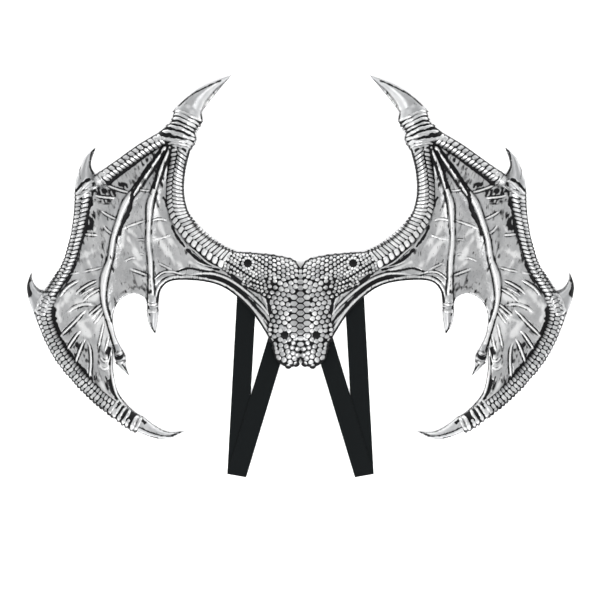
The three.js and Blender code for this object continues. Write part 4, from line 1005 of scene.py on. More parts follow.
def scale_pattern(rings, sectors=16):
    """Radius, angle, share of the rise and faces of a scale in a unit circle, middle first.

    Each ring is its radius and its share of the rise. The last one, without a share, lies under the foam.
    """
    turn = np.arange(sectors) / sectors * 2 * math.pi
    radius = np.concatenate([[0.0]] + [np.full(sectors, r) for r, _ in rings])
    angle = np.concatenate([[0.0]] + [turn for _ in rings])
    share = np.concatenate([[1.0]] + [np.full(sectors, np.nan if h is None else h) for _, h in rings])
    faces = [(0, 1 + i, 1 + (i + 1) % sectors) for i in range(sectors)]
    for ring in range(len(rings) - 1):
        a, b = 1 + ring * sectors, 1 + (ring + 1) * sectors
        faces += [(a + i, b + i, b + (i + 1) % sectors, a + (i + 1) % sectors) for i in range(sectors)]
    last = 1 + (len(rings) - 1) * sectors
    faces.append(tuple(last + i for i in reversed(range(sectors))))
    return radius, angle, share, faces


PATTERNS = {"domed": scale_pattern(DOMED), "flat": scale_pattern(FLAT)}


class Scales:
    """One piece of many scales."""

    def __init__(self):
        self.vertices, self.faces, self.wash, self.polish = [], [], [], []
        self.count = 0

    def put(self, x, y, share, radius, u, rise, tilt, dark, faces, rim=0.85, shine=0.75, level=0.0):
        """A closed lump over the foam from places and their share of its rise.

        tilt lifts its far end (u = 1). level takes out that share of the foam's slope under it.
        """
        ground = sample(relief.top, x, y)
        base = np.maximum(ground + level * (ground.mean() - ground), ground - 0.4 * TUCK)
        z = base + rise * share * (1 + tilt * u)
        z = np.where(np.isnan(share), ground - TUCK, z)
        self.vertices.append(np.column_stack([x, y, z]))
        edge = np.clip((radius - 0.64) / 0.3, 0, 1) ** 1.6
        # Painted shade on scales near the outline.
        outer = smooth((3.4 - sample(relief.from_edge, x, y)) / 2.4)
        # Painted shade on the low end of a tilted scale.
        shaded_end = np.clip(-math.copysign(1, tilt) * u * 2 - 0.8, 0, 1) * (0.9 if tilt else 0)
        self.wash.append(np.clip(dark + rim * edge + shaded_end + 0.6 * outer, 0, 1))
        # Painted highlight: the scale's share, less at its rim and more at its lifted end.
        self.polish.append(np.clip(shine - 0.5 * edge + 0.15 * tilt * u, 0, 1))
        self.faces += [tuple(i + self.count for i in f) for f in faces]
        self.count += len(x)

    def scale(self, place, rise, square=1.0, hexagon=False, tilt=0.0, dark=0.0, shape="domed", **finish):
        """A scale whose local places from -1 to 1 go through place(u, v).

        square below 1 fills its corners.
        """
        radius, angle, share, faces = PATTERNS[shape]
        c, s = np.cos(angle), np.sin(angle)
        u = np.sign(c) * np.abs(c) ** square
        v = np.sign(s) * np.abs(s) ** square
        if hexagon:
            sector = (angle + math.pi / 6) % (math.pi / 3) - math.pi / 6
            reach = 0.1 + 0.9 * math.cos(math.pi / 6) / np.cos(sector)
            u, v = c * reach * 1.1, s * reach * 1.1
        u, v = u * radius, v * radius
        x, y = place(u, v)
        self.put(x, y, share, radius, u, rise, tilt, dark, faces, **finish)

    def bead(self, x, y, angle, half_length, half_width, rise, **how):
        """A scale of an even size, turned by an angle."""
        c, s = math.cos(angle), math.sin(angle)

        def place(u, v):
            along, across = u * half_length, v * half_width
            return x + along * c - across * s, y + along * s + across * c

        self.scale(place, rise, **how)

    def values(self):
        wash, polish = np.concatenate(self.wash), np.concatenate(self.polish)
        none = np.zeros(len(wash))
        return {"wash": wash, "polish": polish, "satin": none, "web": none}

    def finish(self, name):
        vertices = np.vstack(self.vertices)
        for hand, side in HANDS:
            obj = add_mesh(f"{name}_{hand}", side, vertices, self.faces, [FOIL], self.values())
            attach(obj, "root")


class Track:
    """Places along and across a form's centre line."""

    def __init__(self, name):
        line = LINES[name]
        self.line = line
        self.at = np.concatenate([[0], np.cumsum(np.hypot(*np.diff(line[:, :2], axis=0).T))])
        self.length = self.at[-1]
        slope = np.gradient(line[:, :2], self.at, axis=0)
        self.slope = slope / np.hypot(*slope.T)[:, None]

    def place(self, along, across):
        """along in mm, across as a share of the half width, positive to the left of the way along."""
        along = np.asarray(along)
        x, y, half, dx, dy = (
            np.interp(along, self.at, column) for column in (*self.line[:, :3].T, *self.slope.T))
        return x - dy * half * across, y + dx * half * across

    def tile(self, scales, along, low, high, half_pitch, lean=0.0, notch=0.0, pinch=0.0, **how):
        """A plate from share low to share high of the width, narrower at both by pinch.

        lean moves it along by its distance from the notch.
        """
        middle, reach = (low + high) / 2, (high - low) / 2

        def place(u, v):
            across = middle + reach * v
            wide = half_pitch * (1 - pinch * np.abs(v) ** 5)
            return self.place(along + wide * u + lean * np.abs(across - notch), across)

        scales.scale(place, **how)


ARM, UPPER, LOWER = Track("arm"), Track("upper finger"), Track("lower finger")
rng = np.random.default_rng(SEED)

ARM_BANDS_FROM = 108.0  # along the arm, where beads give way to bands
ARM_BACK_PITCH = 5.6
ARM_BELLY_PITCH, ARM_BELLY_LESS = 8.4, 2.8  # at the shoulder, and what the way up takes off
ARM_NOTCH = -0.3  # share of the arm's half width where its belly plates meet its back bands


def arm_scales():
    """Fine bands over the arm's back that meet a row of belly plates beside the web."""
    scales = Scales()
    along = ARM_BANDS_FROM
    while along < ARM.length - 1:
        pitch = ARM_BACK_PITCH * rng.uniform(0.93, 1.07)
        strong = float(smooth((along - ARM.length + 50) / 30))
        low = 1 - float(smooth((along - 190) / 60))
        inner = ARM_NOTCH - 0.1 * low + rng.uniform(-0.04, 0.04)
        ARM.tile(scales, along, inner, 0.985, pitch * 0.5, lean=-3.5 - 2.0 * strong, notch=ARM_NOTCH,
                 pinch=0.5, rise=1.5 + 0.8 * strong + rng.uniform(-0.2, 0.2), square=0.4,
                 tilt=0.2 + 0.2 * strong, shape="flat", dark=rng.uniform(0, 0.12),
                 rim=rng.uniform(0.15, 0.45) * (1 - 0.4 * low) + 0.5 * strong,
                 shine=rng.uniform(0.1, 0.6) + 0.4 * low)
        along += pitch
    along = ARM_BANDS_FROM + 2
    while along < ARM.length - 1:
        share = (along - ARM_BANDS_FROM) / (ARM.length - ARM_BANDS_FROM)
        narrow = ARM_BELLY_LESS * float(smooth(share * 2.4 - 0.5))
        pitch = (ARM_BELLY_PITCH - narrow) * rng.uniform(0.95, 1.05)
        # Near the shoulder the belly plates get a stronger painted highlight and less dark.
        bright = 1 - float(smooth(share * 2.4 - 0.6))
        ARM.tile(scales, along, -0.97, ARM_NOTCH + 0.02, pitch * 0.49, lean=-4.0 + 2.5 * bright,
                 notch=ARM_NOTCH, pinch=0.55, rise=2.3 + 0.5 * bright, square=0.5, tilt=0.3,
                 dark=0.1 * (1 - bright), rim=rng.uniform(0.35, 0.6) * (1 - 0.5 * bright),
                 shine=rng.uniform(0.3, 0.7) + 0.5 * bright, shape="flat" if bright > 0.5 else "domed",
                 level=0.25 + 0.55 * bright)
        along += pitch
    scales.finish("arm_scales")


FINGER_ROWS = [
    # line, from and to mm, low, high share of the width, pitch, lean, rise mm, corners, shape, most rim wash
    (UPPER, 3, 999, 0.0, 0.97, 8.0, 3.0, 1.7, 0.5, "flat", 0.25),
    (UPPER, 3, 999, -0.9, 0.04, 5.6, -3.0, 2.4, 0.6, "flat", 0.45),
    (LOWER, 8, 158, 0.1, 0.97, 5.4, 2.5, 1.7, 0.55, "flat", 0.45),
    (LOWER, 8, 158, -0.76, 0.12, 5.8, -5.0, 2.2, 0.55, "flat", 0.4),
    (LOWER, 158, -31, 0.36, 1.0, 5.8, 1.5, 2.5, 0.85, "domed", 0.35),
    (LOWER, 158, -31, -0.34, 0.4, 5.8, 0.0, 1.9, 0.75, "flat", 0.2),
    (LOWER, 158, -31, -0.97, -0.34, 5.4, -2.0, 2.0, 0.8, "domed", 0.4),
]


def finger_scales():
    """Rows of plates along both fingers: two on the upper stretches, three below the spur."""
    scales = Scales()
    for track, start, stop, low, high, pitch, lean, rise, square, shape, rim in FINGER_ROWS:
        stop = min(stop, track.length - 7) if stop > 0 else track.length + stop
        along = start + rng.uniform(0, 0.5 * pitch)
        while along < stop:
            step = pitch * rng.uniform(0.9, 1.1)
            inner = low + rng.uniform(-0.05, 0.03)
            outer = high + rng.uniform(-0.03, 0.05)
            track.tile(scales, along, inner, outer, step * 0.5, lean=lean, pinch=0.45,
                       rise=rise + rng.uniform(-0.25, 0.25), square=square, tilt=0.25, shape=shape,
                       dark=rng.uniform(0, 0.15), rim=rng.uniform(0.3, 1) * rim,
                       shine=rng.uniform(0.1, 0.8), level=0.3)
            along += step
    scales.finish("finger_scales")


CENTRE_PLATES = [
    # pixel row, half width in pixels
    (271.5, 2.4), (276.5, 3.2), (282, 4.4), (288, 4.0), (294, 4.4), (300, 4.6), (306.5, 4.6), (313, 4.6),
    (319.5, 4.6), (326, 4.6), (332, 4.5), (338, 4.4), (344, 4.2),
]
SIDE_PLATES = (297, 303.5, 309.8, 316.3, 322.8, 329, 335)  # pixel rows
CENTRE_HALF_HEIGHT = 3.6 * PIXEL_MM
CENTRE_ASIDE = 6.6 * PIXEL_MM  # to the next column of plates
SIDE_HALF_WIDTH = 4.2 * PIXEL_MM
CENTRE_RISE, SIDE_RISE = 2.2, 1.9


def pixel_of(x, y):
    """Column and row of the photograph's left wing at a place on the grid."""
    return PHOTO_MIDDLE - x / PIXEL_MM, PHOTO_LOW - y / PIXEL_MM


def row_angle(x, y):
    """Direction of a row of beads, in radians: the rows fall towards the middle."""
    column, row = pixel_of(x, y)
    shoulder = smooth((294 - row) / 22)
    lobe = smooth((row - 342) / 12)
    return np.radians(9 + 24 * shoulder + 11 * lobe)


# A bead's length and width with its gap, pixels
SHOULDER_BEAD = (3.7, 3.4)
INNER_BEAD_MORE = (2.1, 1.9)
TOP_BEAD_LESS = (0.5, 1.4)
LOBE_BEAD_MORE = 0.1  # share


def bead_size(x, y):
    """Length and width of a bead with its gap, mm."""
    column, row = pixel_of(x, y)
    inner = smooth((column - 258) / 22)
    top = smooth((286 - row) / 10) * inner
    big = 1 + LOBE_BEAD_MORE * smooth((row - 350) / 8)
    sizes = zip(SHOULDER_BEAD, INNER_BEAD_MORE, TOP_BEAD_LESS)
    return tuple((first + more * inner - less * top) * big * PIXEL_MM for first, more, less in sizes)


def body_zone():
    """Grid distance into the beaded region: positive inside."""
    inside = np.zeros(GX.shape, bool)
    for name in ("arm", "body", "lobe"):
        near = near_form(name)
        w = near.where
        part = near.share < 0.97
        if name == "arm":
            part &= near.along < ARM_BANDS_FROM - 2
        inside[w] |= part
    corner = Near(BEADED_CORNER, 8)
    inside[corner.where] |= corner.share < 0.97
    inside &= relief.from_edge > 1.2
    inside &= inside_loop(GX, GY)
    return blur(inside.astype(float), 2.0)


ROW_STARTS = (17.0, 30.0, 50.0, 75.0, 98.0)  # x from which rows of beads are looked for


def bead_rows(zone):
    """Lines of beads that follow row_angle and keep a bead's width from each other."""
    lines, taken = [], np.zeros((0, 2))
    for start in ((x, y) for x in ROW_STARTS for y in np.arange(92, 250, 0.7)):
        if sample(zone, *start) < 0.5:
            continue
        line = []
        for way in (-1, 1):
            p = np.array(start)
            while sample(zone, *p) > 0.5 and p[0] > 1.5:
                space = 0.88 * float(bead_size(*p)[1])
                if len(taken) and np.hypot(*(taken - p).T).min() < 0.93 * space:
                    break
                line.insert(len(line) if way > 0 else 0, tuple(p))
                a = float(row_angle(*p))
                p = p + way * CELL * np.array([math.cos(a), math.sin(a)])
        if len(line) > 4:
            lines.append(np.array(line))
            taken = np.vstack([taken, lines[-1]])
    return lines


def beads_along(line, start):
    """Places along a line of beads, the first one start of a bead's length from its end."""
    at = np.concatenate([[0], np.cumsum(np.hypot(*np.diff(line, axis=0).T))])
    sizes = bead_size(*line.T)[0]
    along = start * float(sizes[0])
    places = []
    while along < at[-1]:
        places.append([np.interp(along, at, line[:, k]) for k in (0, 1)])
        along += float(np.interp(along, at, sizes)) * rng.uniform(0.95, 1.05)
    return np.array(places).reshape(-1, 2)


def body_beads():
    """Close rows of beads over the body plate and the shoulder, with a ring of them round each rivet."""
    kept = np.zeros((0, 2))
    for x, y in RIVET_PLACES:
        width = float(bead_size(x, y)[1])
        radius = CAP_DIAMETER / 2 + 0.4 * width
        turns = np.linspace(0, 2 * math.pi, round(2 * math.pi * radius / (0.95 * width)), endpoint=False)
        ring = np.column_stack([x + radius * np.cos(turns), y + radius * np.sin(turns)])
        kept = np.vstack([kept, [p for p in ring if clear_of_plates(p)]])
    zone = body_zone()
    for line in bead_rows(zone):
        best, room = [], -1.0
        for start in np.linspace(0.05, 0.95, 9):
            places = beads_along(line, start)
            if not len(places):
                continue
            nearest = np.sort([np.hypot(*(kept - p).T).min() for p in places])
            closest = nearest[: max(1, len(nearest) // 2)].mean()
            if closest > room:
                best, room = places, closest
        clear = []
        for p in best:
            apart = np.hypot(*(kept - p).T).min() > 0.7 * float(bead_size(*p)[1])
            if apart and clear_of_plates(p):
                clear.append(p)
        kept = np.vstack([kept, np.array(clear).reshape(-1, 2)])
    return filled(kept, zone)


def filled(kept, zone):
    """The same beads and further ones in the holes between them."""
    fine = 1.2
    xs, ys = np.meshgrid(np.arange(1, 110, fine), np.arange(90, 256, fine))
    spots = np.column_stack([xs.ravel(), ys.ravel()])
    spots = spots[sample(zone, *spots.T) > 0.5]
    for share in (1.0, 0.92, 0.84, 0.78):
        for p in spots:
            length, width = (float(v) for v in bead_size(*p))
            a = float(row_angle(*p))
            d = kept - p
            along = (d[:, 0] * math.cos(a) + d[:, 1] * math.sin(a)) / length
            across = (d[:, 1] * math.cos(a) - d[:, 0] * math.sin(a)) / width
            if np.hypot(along, across).min() > share and clear_of_plates(p):
                kept = np.vstack([kept, p])
    return kept


def clear_of_plates(p):
    """Whether a bead has room beside the rivets and the plates in the middle."""
    width = float(bead_size(*p)[1])
    away = min(math.hypot(p[0] - x, p[1] - y) for x, y in RIVET_PLACES) - CAP_DIAMETER / 2
    row = pixel_of(*p)[1]
    middle = 0.0
    if CENTRE_PLATES[0][0] - 3 < row < CENTRE_PLATES[-1][0] + 4:
        middle = float(np.interp(row, *np.transpose(CENTRE_PLATES))) * PIXEL_MM
    if SIDE_PLATES[0] - 3 < row < SIDE_PLATES[-1] + 3:
        middle = CENTRE_ASIDE + SIDE_HALF_WIDTH
    if row > 347:
        middle = 0.3 + 0.25 * width
    return away > 0.32 * width and p[0] > middle + 0.1 * width


def body_scales():
    """Beads over the body plate, and the plates beside the middle ones."""
    scales = Scales()
    for x, y in body_beads():
        length, width = (float(v) for v in bead_size(x, y))
        column, row = pixel_of(x, y)
        lobe = float(smooth((row - 330) / 10))
        deep = float(smooth((row - 272) / 8) * smooth((275 - column) / 8))
        angle = float(row_angle(x, y)) + rng.uniform(-0.2, 0.2)
        half_length = length * 0.61 * rng.uniform(0.92, 1.06)
        half_width = width * 0.55 * rng.uniform(0.92, 1.06)
        rise = 1.15 + 0.2 * width + rng.uniform(-0.3, 0.2)
        scales.bead(x, y, angle, half_length, half_width, rise, square=1.2, tilt=-0.35,
                    dark=rng.uniform(0, 0.2) + 0.25 * deep, rim=rng.uniform(0.5, 0.95),
                    shine=rng.uniform(0.15, 1.0 - 0.5 * lobe))
    for row in SIDE_PLATES:
        y = (PHOTO_LOW - row) * PIXEL_MM
        scales.bead(CENTRE_ASIDE, y, -math.pi / 2, CENTRE_HALF_HEIGHT, SIDE_HALF_WIDTH, SIDE_RISE,
                    hexagon=True, shape="flat", rim=1.4, shine=rng.uniform(0.2, 0.6), tilt=0.1)
    scales.finish("body_scales")


def centre_plates():
    """Six-sided plates down the middle, which both wings share."""
    scales = Scales()
    for row, half_width in CENTRE_PLATES:
        y = (PHOTO_LOW - row) * PIXEL_MM
        scales.bead(0.0, y, -math.pi / 2, 0.86 * CENTRE_HALF_HEIGHT, half_width * PIXEL_MM, CENTRE_RISE,
                    hexagon=True, shape="flat", rim=1.6, shine=rng.uniform(0.1, 0.45))
    vertices = np.vstack(scales.vertices)
    obj = add_mesh("centre_plates", 1, vertices, scales.faces, [FOIL], scales.values())
    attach(obj, "root")


WRAPS = [
    # pixels along the roll, half width mm, rise mm
    ([(172, 111), (180, 112.5), (192, 117), (203, 121.5)], 2.4, 2.0),
    ([(172.5, 115), (180, 115.5), (190, 120), (201.5, 126)], 2.2, 2.2),
    ([(170.5, 118.5), (180, 119.5), (190, 124.5), (199, 129.5)], 2.4, 2.4),
    ([(170, 122.5), (180, 124), (188, 128), (196.5, 132)], 1.7, 1.9),
    ([(165.5, 125), (174, 127), (184, 131), (196, 136)], 2.6, 2.6),
    ([(162, 130.5), (172, 133), (183, 136.5), (196.5, 139.5)], 3.2, 2.8),
    ([(160.5, 137.5), (170, 140.5), (181, 141.5), (195.5, 144)], 3.0, 2.6),
    ([(168, 144.5), (175, 143.5), (184, 145), (192.5, 148.5)], 2.0, 2.0),
    ([(157, 134), (160.5, 139), (163.5, 144)], 2.4, 1.8),
    ([(153, 136.5), (157, 141.5), (160, 147)], 2.4, 1.7),
    ([(75.5, 194.5), (82, 189.5), (87, 184), (94, 180)], 2.4, 2.2),
    ([(76, 199.5), (84, 195.5), (91, 189), (99, 184.5)], 2.6, 2.2),
    ([(46, 290.5), (42, 297), (38, 305), (35.5, 313)], 2.2, 1.8),
    ([(146.5, 303), (152, 304.8), (158.3, 303)], 2.2, 2.4),
    ([(146.5, 309.5), (152, 311.5), (158.3, 309.5)], 2.4, 2.4),
    ([(113.5, 353), (118, 353.8), (123.4, 351)], 1.8, 2.0),
    ([(115, 362.3), (120.5, 362.8), (126, 360)], 2.0, 2.2),
    ([(133.5, 433.5), (137.5, 427), (140, 421), (142, 416)], 2.7, 2.6),
    ([(130, 431.5), (133.5, 425), (136, 419), (138.5, 414.5)], 3.2, 2.4),
    ([(125, 428.5), (127.5, 422.5), (129.5, 418.5)], 2.4, 2.0),
    ([(121, 426), (124.5, 420), (127.5, 415), (131.5, 409)], 2.7, 2.2),
    ([(116.8, 422.5), (120.3, 416.5), (123.5, 411.5), (127.5, 405.5)], 2.6, 2.0),
    ([(112.5, 419), (116, 413), (119, 408), (123, 402.5)], 2.5, 2.0),
    ([(108.5, 416), (112, 410), (115, 405), (119, 399.5)], 2.3, 1.9),
    ([(98, 173.5), (101.5, 179), (105, 184.5)], 2.4, 1.8),
    ([(102.5, 170.5), (106, 176), (109, 181)], 2.4, 1.8),
    ([(93.5, 177), (96.5, 182), (99, 187)], 2.2, 1.8),
]
ROLL_SECTION = 9


def wraps():
    """Rolled folds of skin round the claws' roots and the knuckles."""
    scales = Scales()
    across = np.linspace(-1, 1, ROLL_SECTION)
    for points, half, rise in WRAPS:
        line = curve_through([photo_point(*p) for p in points], 1.6)
        slope = np.gradient(line, axis=0)
        slope /= np.hypot(*slope.T)[:, None]
        n = len(line)
        t = np.linspace(-1, 1, n)
        taper = np.sqrt(np.clip(1 - np.abs(t) ** 6, 0.02, 1))
        line += slope[:, ::-1] * (-1, 1) * 0.8 * noise(line[:, 0], line[:, 1], 8.0, 34)[:, None]
        wrinkle = 1 + 0.26 * noise(line[:, 0], line[:, 1], 5.0, 31)
        wide = half * taper * wrinkle
        x = line[:, 0, None] - slope[:, 1, None] * across * wide[:, None]
        y = line[:, 1, None] + slope[:, 0, None] * across * wide[:, None]
        dome = np.sqrt(np.clip(1 - across**2, 0, 1))
        share = dome[None, :] * taper[:, None] * (1 + 0.28 * noise(x, y, 3.2, 32))
        share[:, [0, -1]] = np.nan
        share[[0, -1], :] = np.nan
        radius = np.abs(across) + 0.3 * noise(x, y, 2.6, 33)
        m = ROLL_SECTION
        faces = [(a, a + m, a + m + 1, a + 1) for i in range(n - 1) for a in range(i * m, i * m + m - 1)]
        under = [i * m for i in range(n)] + [(n - 1) * m + j for j in range(1, m)]
        under += [i * m + m - 1 for i in range(n - 2, -1, -1)] + [j for j in range(m - 2, 0, -1)]
        faces.append(tuple(under))
        x, y, share, radius = (field.ravel() for field in (x, y, share, radius))
        scales.put(x, y, share, radius, np.zeros(x.size), rise, 0.0, 0.0, faces, rim=1.0, shine=0.5)
    scales.finish("wraps")


arm_scales()
finger_scales()
body_scales()
centre_plates()
wraps()


# Straps and rivets

ELASTIC_RIB, ELASTIC_PICK = 1.3, 0.9  # mm from rib to rib and from pick to pick


def elastic():
    """Flat woven elastic, matte black."""
    n = Nodes("woven_elastic")
    rib = n.math("SINE", n.times(n.value("across"), 2 * math.pi / ELASTIC_RIB))
    pick = n.math("SINE", n.times(n.value("along"), 2 * math.pi / ELASTIC_PICK))
    weave = n.plus(n.times(rib, pick), n.times(rib, 0.6))
    fuzz = n.noise(2200.0, 3.0)
    tone = n.plus(n.ranged(weave, -1.6, 1.6, 0.0, 0.6), n.times(fuzz, 0.4))
    return n.finish(n.mix(tone, ELASTIC_DARK, ELASTIC_PALE), n.ranged(fuzz, 0.3, 0.7, 0.78, 0.92),
                    n.bump(weave, 0.00018, 0.7), Specular_IOR_Level=0.12, Sheen_Weight=0.03,
                    Sheen_Roughness=0.5)


def plastic():
    """Satin black moulded plastic."""
    n = Nodes("satin_plastic")
    colour = n.mix(n.noise(300.0, 3.0), PLASTIC_DARK, PLASTIC_PALE)
    return n.finish(colour, n.ranged(n.noise(900.0, 3.0), 0.3, 0.7, 0.42, 0.56),
                    n.bump(n.noise(1500.0, 2.0), 0.00008, 0.5), Specular_IOR_Level=0.12)


ELASTIC = elastic()
PLASTIC = plastic()
STRAP_THICKNESS = 1.4
STRAP_ACROSS = 14  # faces across the strap
OUTER_STEPS, FOLD_STEPS, INNER_STEPS = 96, 12, 70


def strap_sections():
    """Middle, across and up of a strap's sections, from its end at the upper rivet to the lower one's."""
    up = Vector((0, 0, 1))
    (ux, uy), (lx, ly) = RIVET_PLACES
    upper = Vector((ux, uy, 0))
    lower = Vector((lx + STRAP_ASIDE, ly, 0))
    lean = math.radians(STRAP_LEAN)
    down = Vector((math.sin(lean), -math.cos(lean), 0))
    fold = upper + down * STRAP_DROP
    back = (lower - fold).normalized()
    at_rivet = SOCKET_HEIGHT + GAP + STRAP_ROOM / 2
    on_floor = STRAP_ROOM / 2
    on_outer = on_floor + STRAP_ROOM + GAP
    outer_across = -down.cross(up)
    rows = []

    def add(middle, z, across, out):
        rows.append((Vector((middle.x, middle.y, z)), across, out))

    for i in range(OUTER_STEPS + 1):
        along = -STRAP_TAB + (STRAP_DROP + STRAP_TAB - 6) * i / OUTER_STEPS
        z = at_rivet + (on_floor - at_rivet) * float(smooth((along - STRAP_TAB) / STRAP_SLOPE))
        add(upper + down * along, z, outer_across, up)
    middle_line = (back - down).normalized()
    crease = middle_line.cross(up)
    widen = 1 / crease.dot(outer_across)
    bend = (on_outer - on_floor) / 2
    for i in range(FOLD_STEPS + 1):
        turn = math.pi * i / FOLD_STEPS
        middle = fold - middle_line * (bend * math.sin(turn))
        add(middle, on_floor + bend * (1 - math.cos(turn)), crease * widen,
            middle_line * math.sin(turn) + up * math.cos(turn))
    inner_across = back.cross(up)
    inner_length = (lower - fold).length
    for i in range(INNER_STEPS + 1):
        along = STRAP_WIDTH + (inner_length + STRAP_TAB - STRAP_WIDTH) * i / INNER_STEPS
        rise = float(smooth((along - inner_length + 3 * STRAP_TAB) / (2 * STRAP_TAB)))
        add(fold + back * along, on_outer + (at_rivet - on_outer) * rise, inner_across, -up)
    return rows


def strap(side, name):
    """One elastic strap, folded into its loop."""
    rows = strap_sections()
    shares = np.linspace(-1, 1, STRAP_ACROSS + 1) * 0.985
    section = [(s, 1.0) for s in shares] + [(1.0, 0.0)] + [(s, -1.0) for s in shares[::-1]] + [(-1.0, 0.0)]
    vertices, along_values, across_values = [], [], []
    run = 0.0
    for i, (middle, across, out) in enumerate(rows):
        if i:
            run += (middle - rows[i - 1][0]).length
        for s, t in section:
            place = middle + across * (STRAP_WIDTH / 2 * s) + out * (STRAP_THICKNESS / 2 * t)
            vertices.append(tuple(place))
            along_values.append(run)
            across_values.append(s * STRAP_WIDTH / 2)
    n, m = len(rows), len(section)
    faces = [tuple(reversed(range(m))), tuple((n - 1) * m + j for j in range(m))]
    for a in range(0, (n - 1) * m, m):
        faces += [(a + j, a + (j + 1) % m, a + m + (j + 1) % m, a + m + j) for j in range(m)]
    obj = add_mesh(name, side, vertices, faces, [ELASTIC], {"along": along_values, "across": across_values})
    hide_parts(name)
    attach(obj, "root")


def lathe(name, profile, x, y, z, sectors=48):
    """A turned piece from (radius, height) rows, which start and end on the axis."""
    turn = np.arange(sectors) / sectors * 2 * math.pi
    vertices = [(x, y, z + profile[0][1])]
    for radius, height in profile[1:-1]:
        vertices += [(x + radius * math.cos(a), y + radius * math.sin(a), z + height) for a in turn]
    vertices.append((x, y, z + profile[-1][1]))
    faces = [(0, 1 + (i + 1) % sectors, 1 + i) for i in range(sectors)]
    for ring in range(len(profile) - 3):
        a, b = 1 + ring * sectors, 1 + (ring + 1) * sectors
        faces += [(a + i, a + (i + 1) % sectors, b + (i + 1) % sectors, b + i) for i in range(sectors)]
    a, end = 1 + (len(profile) - 3) * sectors, len(vertices) - 1
    faces += [(a + i, a + (i + 1) % sectors, end) for i in range(sectors)]
    obj = add_mesh(name, 1, vertices, faces, [PLASTIC], {})
    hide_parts(name)
    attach(obj, "root")


def rivets():
    """Domed heads with their posts, and the flat backs that the posts end in."""
    radius, post, hole = CAP_DIAMETER / 2, POST_DIAMETER / 2, POST_DIAMETER / 2 + GAP
    back = SOCKET_DIAMETER / 2
    for (place, _), (x, y) in zip(RIVETS.items(), RIVET_PLACES):
        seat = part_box(f"rivet_cap_{place}_right")[1].z / MM - CAP_HEIGHT - GAP
        low = SOCKET_FLOOR + GAP - seat
        cap = [(0, low), (post - 0.3, low), (post, low + 0.3), (post, GAP), (radius - 0.25, GAP),
               (radius, GAP + 0.2), (radius, GAP + CAP_HEIGHT * 0.28)]
        for i in range(1, 9):
            a = math.pi / 2 * i / 9
            cap.append((radius * math.cos(a) ** 0.8, GAP + CAP_HEIGHT * (0.28 + 0.72 * math.sin(a))))
        cap.append((0, GAP + CAP_HEIGHT))
        socket = [(0, 0), (back - 0.4, 0), (back, 0.3), (back, SOCKET_HEIGHT - 0.3),
                  (back - 0.3, SOCKET_HEIGHT), (hole, SOCKET_HEIGHT), (hole, SOCKET_FLOOR), (0, SOCKET_FLOOR)]
        for hand, side in HANDS:
            lathe(f"rivet_cap_{place}_{hand}", cap, side * x, y, seat)
            lathe(f"rivet_socket_{place}_{hand}", socket, side * x, y, 0)


for hand, side in HANDS:
    strap(side, f"strap_{hand}")
rivets()


# Floor, camera and lights

FLOOR_HALF = 6.0
FLOOR_DROP = 0.0005
LENS, SENSOR = 100, 36
IN_FRAME = 0.008  # height at which the frame's width is the photograph's


def floor():
    mesh = bpy.data.meshes.new("floor")
    s = FLOOR_HALF
    mesh.from_pydata([(-s, -s, 0), (s, -s, 0), (s, s, 0), (-s, s, 0)], [], [(0, 1, 2, 3)])
    obj = new_object("floor", mesh)
    n = Nodes("pale_floor")
    n.shader.inputs["Base Color"].default_value = FLOOR_TONE
    n.shader.inputs["Roughness"].default_value = 0.9
    mesh.materials.append(n.material)
    obj.location.z = -FLOOR_DROP


def camera():
    """Straight above the part, with the photograph's middle and scale."""
    data = bpy.data.cameras.new("camera")
    data.lens = LENS
    data.sensor_width = SENSOR
    field = PHOTO_SIDE * PIXEL_MM * MM
    obj = new_object("camera", data)
    x = (PHOTO_SIDE / 2 - PHOTO_MIDDLE) * PIXEL_MM * MM
    y = ((PHOTO_LOW - PHOTO_SIDE / 2) * PIXEL_MM + ROW_Y) * MM
    obj.location = (x, y, field * LENS / SENSOR + IN_FRAME)
    bpy.context.scene.camera = obj


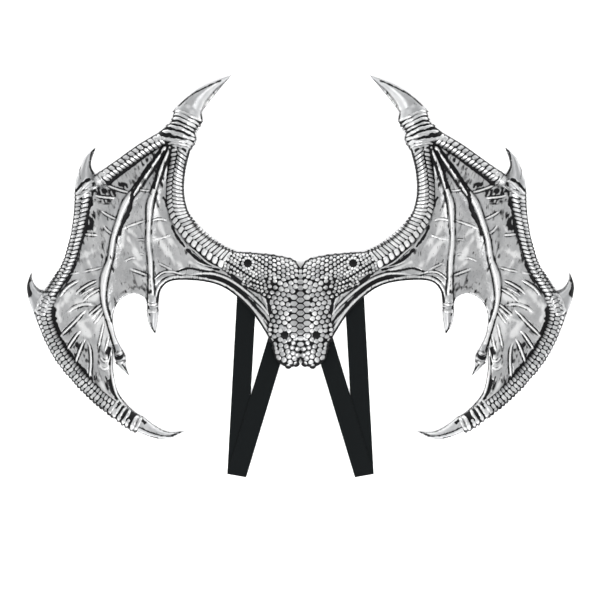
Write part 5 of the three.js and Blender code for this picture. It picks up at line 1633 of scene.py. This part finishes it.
def light(name, place, aim, size, power, only=None):
    """A soft box in metres and watts, which lights every object or one collection only."""
    data = bpy.data.lights.new(name, "AREA")
    data.shape = "RECTANGLE"
    data.size, data.size_y = size
    data.energy = power
    obj = new_object(name, data)
    obj.location = place
    obj.rotation_mode = "QUATERNION"
    obj.rotation_quaternion = (Vector(aim) - Vector(place)).to_track_quat("-Z", "Y")
    if only:
        obj.light_linking.receiver_collection = only


def half_of_scene(hand, other):
    """What a lamp for one wing lights: that wing and all that isn't the other wing's."""
    collection = bpy.data.collections.new(f"lit_{hand}")
    for obj in bpy.context.scene.objects:
        if obj.type == "MESH" and not obj.name.endswith((other, "plates")):
            collection.objects.link(obj)
    return collection


def lights():
    """A pale sky that is brighter towards the horizon, and soft boxes, the same for each wing."""
    world = bpy.data.worlds.new("studio")
    bpy.context.scene.world = world
    world.use_nodes = True
    tree = world.node_tree
    background = tree.nodes["Background"]
    background.inputs["Color"].default_value = SKY_TONE
    direction = tree.nodes.new("ShaderNodeTexCoord")
    split = tree.nodes.new("ShaderNodeSeparateXYZ")
    tent = tree.nodes.new("ShaderNodeMapRange")
    tree.links.new(direction.outputs["Generated"], split.inputs[0])
    tree.links.new(split.outputs["Z"], tent.inputs["Value"])
    for key, number in (("From Min", 0.1), ("From Max", 0.85), ("To Min", 0.95), ("To Max", 0.49)):
        tent.inputs[key].default_value = number
    tree.links.new(tent.outputs["Result"], background.inputs["Strength"])
    middle = (0, 0, 0)
    for side, hand, other in ((-1, "right", "left"), (1, "left", "right")):
        this_half, other_half = half_of_scene(hand, other), half_of_scene(other, hand)
        light("side_box", (side * 1.25, 0.1, 1.35), middle, (1.0, 1.8), 3)
        light("far_box", (side * 1.15, -0.35, 1.3), middle, (1.2, 1.4), 9, this_half)
        light("key_box", (-side * 0.5, -0.75, 1.35), (-side * 0.2, 0, 0), (0.3, 0.3), 7, other_half)
    under = bpy.data.collections.new("lit_floor")
    under.objects.link(bpy.data.objects["floor"])
    light("floor_box", (0, 0, 1.6), middle, (2.4, 2.4), 28, under)
    light("top_box", (0, 1.45, 1.35), middle, (1.8, 0.9), 7)
    light("low_box", (0, -1.45, 1.2), middle, (1.8, 0.9), 7)
    bpy.context.scene.view_settings.view_transform = "Standard"


floor()
camera()
lights()
